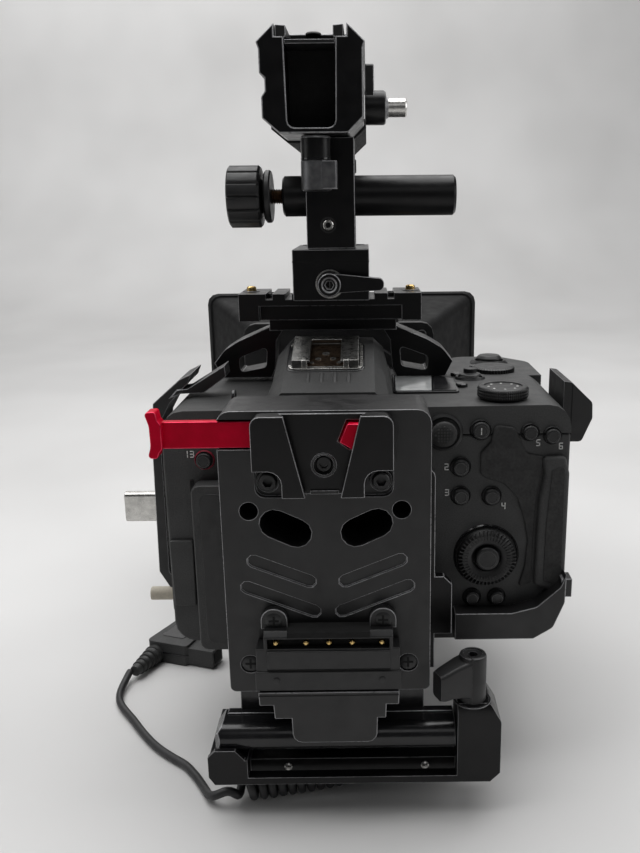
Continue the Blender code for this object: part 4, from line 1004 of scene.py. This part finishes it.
def hood_ring(y, grow):
    """The hood's rounded rectangle at one depth, moved in or out by some millimetres."""
    frame_low, frame_high = box_of("matte_box_frame")
    hood_low, hood_high = box_of("matte_box_hood")
    share = (y - frame_high.y) / (hood_high.y - frame_high.y)
    half = frame_high.x + (hood_high.x - frame_high.x) * share + grow
    low = frame_low.z + (hood_low.z - frame_low.z) * share - grow
    high = frame_high.z + (hood_high.z - frame_high.z) * share + grow
    return [(a, y, b) for a, b in rectangle(-half, half, low, high, 6 + grow, 6)]


def make_matte_box_details():
    """Ribs inside the hood, and on its frame the screws, two side latches and the filter tray."""
    low, high = box_of("matte_box_frame")
    ribs = bmesh.new()
    for index in range(9):
        y = high.y + 4 + index * 4.8
        corners = ((y, -3.7), (y + 0.9, -3.7), (y + 0.9, -4.6), (y, -4.6))
        loft([hood_ring(depth, grow) for depth, grow in corners], ribs, closed=True)
    make("hood_ribs", ribs, "plastic_black")
    screws = bmesh.new()
    face = low.y + 4.8
    head = [(2.4, face), (2.4, face - 0.6), (2.0, face - 0.9), (1.1, face - 0.9, 1), (1.1, face - 0.2, 1)]
    for x in (low.x + 6, high.x - 6):
        for z in (low.z + 6, high.z - 6):
            lathe(head, "Y", (x, z), 36, shape=screws)
    make("frame_screws", screws, "anodised_black")
    centre = (high.y - 2.4, 96.0)
    for side, x, sign in (("left", low.x, -1), ("right", high.x, 1)):
        profile = [(5.2, x + sign * 0.4), (5.2, x + sign * 3.6, 2), (4.6, x + sign * 4.4)]
        knob = lathe(profile, "X", centre, 96, wave=lambda angle, _: 0.25 * math.cos(20 * angle))
        make(f"frame_latch_{side}", knob, "plastic_black")
    tray = block((-30, low.y + 6.4, high.z - 1), (30, high.y - 0.9, high.z + 4.4))
    make("filter_tray", tray, "plastic_black", bevel=0.7, segments=3)


# ---------------------------------------------------------------- cage, rail and clamp
def make_cage_details():
    """The screws of the cage, and the seam of its clamp block, as a near-black strip of painted shade."""
    top, under = box_of("cage_top")[1].z, box_of("cage_bottom")[0].z
    for index, centre in enumerate(((-19, 32), (21, 32), (-19, 22), (21, 22))):
        socket_screw(f"deck_screw_{index}", centre, "Z", 2.2, top - 0.4, top + 0.35)
    for index, centre in enumerate(((-30, -20), (50, -20), (50, 10), (-30, 10))):
        socket_screw(f"floor_screw_{index}", centre, "Z", 2.6, under + 0.4, under - 0.35)
    left = box_of("cage_left")[0].x
    for index, z in enumerate((69.0, 104.0, 111.0)):
        socket_screw(f"left_screw_{index}", (-14.0, z), "X", 2.4, left + 1.8, left - 0.2)
    low, high = box_of("cage_right")
    socket_screw("right_screw_0", (-17.0, 130.4), "X", 2.4, high.x - 0.8, high.x + 0.3)
    for index, z in enumerate((76.0, 98.0)):
        socket_screw(f"right_screw_{index + 1}", (-18.0, z), "X", 2.6, 87.6, 88.35)
    # Painted shade: a near-black strip for the seam's gap
    seam = block((low.x + 3.0, low.y - 0.08, 119.0), (low.x + 3.3, high.y + 0.08, 140.4))
    make("cage_right_seam", seam, "painted_shade")


def make_rail_details():
    """Collars round the rail's spring pins, its screws, and the clamp's groove, a near-black band of
    painted shade, and its screws.
    """
    top = box_of("nato_rail")[1].z
    collar = [(2.35, top - 0.3), (2.35, top + 0.28), (3.3, top + 0.28), (3.5, top - 0.3)]
    for side in ("left", "right"):
        shape = lathe(collar, "Z", centre_of(f"rail_pin_{side}", "Z"), 40, closed=True)
        make(f"pin_collar_{side}", shape, "anodised_black", bevel=0.1)
    for index, x in enumerate((-23.0, 24.0)):
        socket_screw(f"rail_screw_{index}", (x, 7.0), "Z", 2.6, top - 2.4, top - 0.5)
    low, high = box_of("nato_clamp")
    # Painted shade: a near-black band for the groove round the clamp
    groove = block((low.x - 0.06, low.y - 0.06, 183.68), (high.x + 0.06, high.y + 0.06, 184.12))
    make("clamp_groove", groove, "painted_shade", "nato_clamp")
    for index, x in enumerate((low.x + 4.0, high.x - 4.0)):
        socket_screw(f"clamp_screw_{index}", (x, high.y - 6.0), "Z", 2.6, high.z - 0.4, high.z + 0.3,
                     body="nato_clamp")
    make_nato_lever()


def make_nato_lever():
    """The clamp's lever, a socketed hub with a short arm, and the washer behind it."""
    low, high = box_of("nato_clamp_lever")
    centre = x, z = 0.9, 175.8
    back, front = high.y, low.y
    profile = [(4.4, back), (4.4, front + 0.8), (4.1, front + 0.2), (3.5, front), (2.7, front),
               (2.5, front + 0.4), (2.0, front + 0.4), (1.35, front + 0.4, 1), (1.35, front + 2.8, 1)]
    hub = lathe(profile, "Y", centre, 48)
    arm = rounded([(x, z - 3.2), (high.x, z - 2.1, 2.0), (high.x, z + 2.1, 2.0), (x, z + 4.2)], steps=8)
    prism(arm, "Y", front + 1.2, front + 4.2, hub)
    make("nato_clamp_lever_body", hub, "anodised_deep", "nato_clamp_lever", bevel=0.25,
         replaces=["nato_clamp_lever"])
    seat = washer(4.7, 5.3, back + 0.02, back + 0.25, "Y", centre)
    make("nato_lever_washer", seat, "steel", "nato_clamp")


# ---------------------------------------------------------------- rod, arm and handle
def make_rod():
    """The rod, hollow, with the inside thread at its right end."""
    low, high = box_of("rod")
    radius = (high.z - low.z) / 2
    profile = [(3.2, low.x), (radius - 0.7, low.x), (radius, low.x + 0.7), (radius, high.x - 0.9),
               (radius - 0.9, high.x), (5.6, high.x), (5.2, high.x - 0.6)]
    for index in range(8):
        near = high.x - 1.2 - index * 1.2
        profile += [(5.3, near), (4.8, near - 0.6)]
    profile += [(3.2, high.x - 12.0)]
    shape = lathe(profile, "X", centre_of("rod", "X"), 96, closed=True)
    make("rod_body", shape, "anodised_deep", "rod", replaces=["rod"])


def make_rod_knob():
    """The grooved knob, the ring on its face, and its bronze thread, which runs into the rod."""
    left = box_of("rod_knob")[0].x
    axis = centre_of("rod", "X")
    side = [(6.6, left), (10.4, left), (11.2, left + 0.6, 2), (11.2, left + 11.2, 2), (10.4, left + 12.0),
            (6.4, left + 12.0), (5.0, left + 12.8), (3.6, left + 13.2)]
    knob = lathe(side, "X", axis, 280, wave=lambda angle, _: -0.7 * max(0.0, math.cos(14 * angle)) ** 10)
    collar = [(3.0, -23.2), (8.6, -22.9), (9.5, -22.2), (9.5, -20.8), (9.0, -20.3), (2.6, -20.3)]
    lathe(collar, "X", axis, 160, shape=knob)
    make("rod_knob_body", knob, "plastic_black", "rod_knob", replaces=["rod_knob"])
    make("rod_knob_face", washer(5.0, 6.4, left + 0.02, left - 0.3, "X", axis, 64), "gloss", "rod_knob")
    thread = [(1.2, -27.0)]
    for index in range(14):
        along = -20.6 + index * 0.85
        thread += [(2.3, along), (2.75, along + 0.42)]
    thread += [(2.2, -8.6), (1.2, -8.2)]
    make("rod_knob_thread", lathe(thread, "X", axis, 40), "bronze", "rod_knob")


def make_arm_details():
    """The arm's two screws, and the clamping slit in its top, as a near-black sheet of painted shade."""
    low, high = box_of("handle_arm")
    screw = (0.8, 197.0)
    socket_screw("arm_screw", screw, "Y", 1.9, low.y + 0.3, low.y - 0.5, "steel", "nato_clamp")
    ring = washer(2.3, 2.9, low.y + 0.1, low.y - 0.15, "Y", screw, 36)
    make("arm_screw_ring", ring, "anodised_black", "nato_clamp")
    # Painted shade: a near-black sheet for the slit
    slit = block((low.x - 0.05, -4.25, high.z - 12.0), (high.x + 0.05, -3.75, high.z - 0.5))
    make("arm_slit", slit, "painted_shade", "nato_clamp")
    socket_screw("arm_side_screw", (1.0, 218.0), "X", 2.6, high.x - 0.3, high.x + 0.5, body="nato_clamp")


def make_handle_details():
    """The rear end, the ribs round the underside, and the screws and pads on the top."""
    low, high = box_of("top_handle")
    make_handle_rear(low.y)
    ribs = bmesh.new()
    outline = [(-14.2, 227.75), (-20.05, 232.4), (-20.05, 235.4), (-20.95, 235.4), (-20.95, 232.0),
               (-14.8, 227.0), (9.2, 227.0), (14.95, 232.2), (14.95, 235.4), (14.05, 235.4),
               (14.05, 232.7), (8.8, 227.75)]
    for index in range(23):
        y = 8.1 + index * 3.9
        prism(outline, "Y", y, y + 1.7, ribs)
    make("handle_ribs", ribs, "soft_rubber", "nato_clamp")
    for index, y in enumerate((-8.0, 6.0, 92.0)):
        socket_screw(f"handle_screw_{index}", (-3.2, y), "Z", 2.8, high.z - 0.5, high.z + 0.3,
                     body="nato_clamp")
    pads = bmesh.new()
    for index in range(6):
        y = 24.0 + index * 9.0
        prism(rectangle(-12.0, 5.6, y, y + 3.2, 1.5, 5), "Z", high.z - 0.3, high.z + 0.22, pads)
    make("handle_top_pads", pads, "soft_rubber", "nato_clamp", bevel=0.1)


def make_handle_rear(rear):
    """In the handle's rear end: the shoe's floor and lips, and a near-black block of painted shade at the
    back of the channel.
    """
    floor = prism(rectangle(-11.8, 4.9, 255.9, 257.2), "Y", rear + 0.15, rear + 20)
    make("handle_shoe_floor", floor, "anodised_black", "nato_clamp", bevel=0.15)
    # Painted shade: a near-black block for the shaded inside of the channel
    back = rounded([(-11.6, 229.6, 2.4), (4.6, 229.6, 2.4), (5.0, 255.8), (-12.0, 255.8)])
    make("handle_channel_back", prism(back, "Y", rear + 13.5, rear + 19.9), "painted_shade", "nato_clamp")
    lips = bmesh.new()
    for side, wall in ((-1, -12.2), (1, 5.2)):
        inside, outside = wall - side * 0.9, wall + side * 2.6
        lip = [(wall, 257.4), (inside, 258.4), (inside, 261.6), (outside, 261.9), (outside, 257.4)]
        prism(lip, "Y", rear + 0.3, rear + 21, lips)
    make("handle_shoe_lips", lips, "anodised_black", "nato_clamp", bevel=0.3)


def make_side_lever():
    """The lever on the handle's right side: a hub, a fin that stands up from it, and a steel stud."""
    low, high = box_of("side_lever")
    axis = y, z = -12.0, 237.2
    start = low.x
    profile = [(5.8, start), (5.8, start + 6.6), (5.3, start + 7.4), (3.6, start + 7.6),
               (3.6, start + 8.2), (3.0, start + 8.4)]
    hub = lathe(profile, "X", axis, 48)
    fin = rounded([(y - 5.0, z), (y - 2.6, high.z, 1.6), (y + 1.6, high.z, 1.6), (y + 5.2, z + 2)], steps=6)
    prism(fin, "X", start + 0.2, start + 3.3, hub)
    make("side_lever_body", hub, "anodised_deep", "side_lever", bevel=0.3, replaces=["side_lever"])
    stud = [(2.2, start + 8.0), (3.2, start + 8.1), (3.2, high.x - 0.5), (2.8, high.x),
            (1.5, high.x, 1), (1.5, high.x - 2.0, 1)]
    make("side_lever_stud", lathe(stud, "X", axis, 48), "steel", "side_lever")


def make_under_lever():
    """The lever under the handle: a neck in a grey sleeve, with a lug to the right and a groove."""
    low, high = box_of("under_lever")
    axis = x, y = -2.6, -21.6
    neck = lathe([(4.6, 208.9), (5.2, 209.4), (5.2, 218.6), (5.2, 219.4), (5.2, high.z - 0.6),
                  (4.8, high.z)], "Z", axis, 64)
    make("under_lever_body", neck, "anodised_deep", "under_lever", bevel=0.35, segments=3,
         replaces=["under_lever"])
    outline = [(x - 0.5, y - 5.15), (high.x, low.y + 0.9, 1.2), (high.x, y + 2.0, 1.2), (x, y + 5.15)]
    lug = prism(rounded(outline, steps=5), "Z", 209.4, 219.0)
    make("under_lever_lug", lug, "satin_grey", "under_lever", bevel=0.4, segments=3)
    groove = [(5.0, 219.3), (5.3, 219.4), (5.3, 219.9), (5.0, 220.0)]
    make("under_lever_groove", lathe(groove, "Z", axis, 64, closed=True), "gloss", "under_lever")
    sleeve = lathe([(4.6, 208.8), (5.35, 209.3), (5.35, 218.8), (5.0, 219.1)], "Z", axis, 64)
    make("under_lever_sleeve", sleeve, "satin_grey", "under_lever")


def make_side_plug_details():
    """A near-black block of painted shade in the mouth of each plug on the left, at its outer end."""
    for name, inset in (("monitor_port_plug", 0.9), ("data_port_plug", 1.2)):
        low, high = box_of(name)
        # Painted shade: a near-black block for the inside of the plug's mouth
        mouth = rectangle(low.y + inset, high.y - inset, low.z + inset * 1.4, high.z - inset * 1.4,
                          min(0.8, (high.y - low.y) / 2 - inset - 0.05), 4)
        make(f"{name}_mouth", prism(mouth, "X", low.x + 0.1, low.x - 0.08), "painted_shade")


# ---------------------------------------------------------------- studio
def make_stage():
    """A pale floor that curves up into a backdrop."""
    material = surface("studio_paper", (0.58, 0.575, 0.57), (0.66, 0.655, 0.65), (220, 2), 0.55)
    radius, front, back, height = 0.5, -1.2, 1.1, 2.2
    profile = [(front, 0.0), (back, 0.0)]
    for step in range(1, 17):
        angle = math.pi / 2 * step / 16
        profile.append((back + radius * math.sin(angle), radius * (1 - math.cos(angle))))
    profile.append((back + radius, height))
    shape = bmesh.new()
    rows = [[shape.verts.new((x, y, z)) for x in (-2.5, 2.5)] for y, z in profile]
    for near, far in zip(rows, rows[1:]):
        shape.faces.new((near[0], near[1], far[1], far[0]))
    mesh = bpy.data.meshes.new("studio_floor")
    shape.to_mesh(mesh)
    shape.free()
    mesh.shade_smooth()
    mesh.materials.append(material)
    floor = bpy.data.objects.new("studio_floor", mesh)
    bpy.context.collection.objects.link(floor)


def add_light(name, place_mm, target_mm, size_m, power):
    """An area light, aimed from one place at another."""
    light = bpy.data.lights.new(name, "AREA")
    light.shape = "RECTANGLE"
    light.size, light.size_y = size_m
    light.energy = power
    lamp = bpy.data.objects.new(name, light)
    lamp.location = Vector(place_mm) * MM
    aim = (Vector(target_mm) - Vector(place_mm)).to_track_quat("-Z", "Y")
    lamp.rotation_euler = aim.to_euler()
    bpy.context.collection.objects.link(lamp)


def make_lights():
    world = bpy.data.worlds.new("studio_world")
    bpy.context.scene.world = world
    world.use_nodes = True
    background = world.node_tree.nodes["Background"]
    background.inputs["Color"].default_value = (0.80, 0.82, 0.84, 1.0)
    background.inputs["Strength"].default_value = 0.07
    add_light("overhead", (-60, 170, 1050), (0, 0, 60), (1.7, 0.9), 17.0)
    add_light("backdrop_wash", (-600, 800, 1500), (-500, 1600, 1450), (1.8, 0.6), 27)
    add_light("left_fill", (-1000, -150, 520), (0, 0, 130), (0.5, 0.7), 1.4)
    add_light("right_fill", (1000, -150, 560), (0, 0, 130), (0.5, 0.7), 2.6)
    add_light("rear_fill", (250, -1000, 900), (0, 0, 120), (0.9, 0.4), 0.8)
    bpy.context.scene.view_settings.view_transform = "Standard"


def make_camera():
    """The camera, turned by its pitch, yaw and roll from a level view along Y."""
    data = bpy.data.cameras.new("studio_camera")
    data.lens, data.sensor_width = LENS, SENSOR
    data.sensor_fit = "AUTO"
    data.shift_x = SHIFT_X
    camera = bpy.data.objects.new("studio_camera", data)
    camera.location = Vector(EYE) * MM
    pitch, roll, yaw = (math.radians(angle) for angle in (PITCH, ROLL, YAW))
    forward = Vector((math.sin(yaw) * math.cos(pitch), math.cos(yaw) * math.cos(pitch), math.sin(pitch)))
    level = Vector((math.cos(yaw), -math.sin(yaw), 0))
    upward = level.cross(forward)
    right = math.cos(roll) * level + math.sin(roll) * upward
    up = math.cos(roll) * upward - math.sin(roll) * level
    camera.rotation_euler = Matrix((right, up, -forward)).transposed().to_euler()
    bpy.context.collection.objects.link(camera)
    bpy.context.scene.camera = camera


def main():
    make_camera()
    make_cord()
    dress_packed_nodes()
    make_base_details()
    make_plate_details()
    make_camera_details()
    make_lens_details()
    make_matte_box_details()
    make_cage_details()
    make_rail_details()
    make_rod()
    make_rod_knob()
    make_arm_details()
    make_handle_details()
    make_side_lever()
    make_under_lever()
    make_side_plug_details()
    make_stage()
    make_lights()


main()
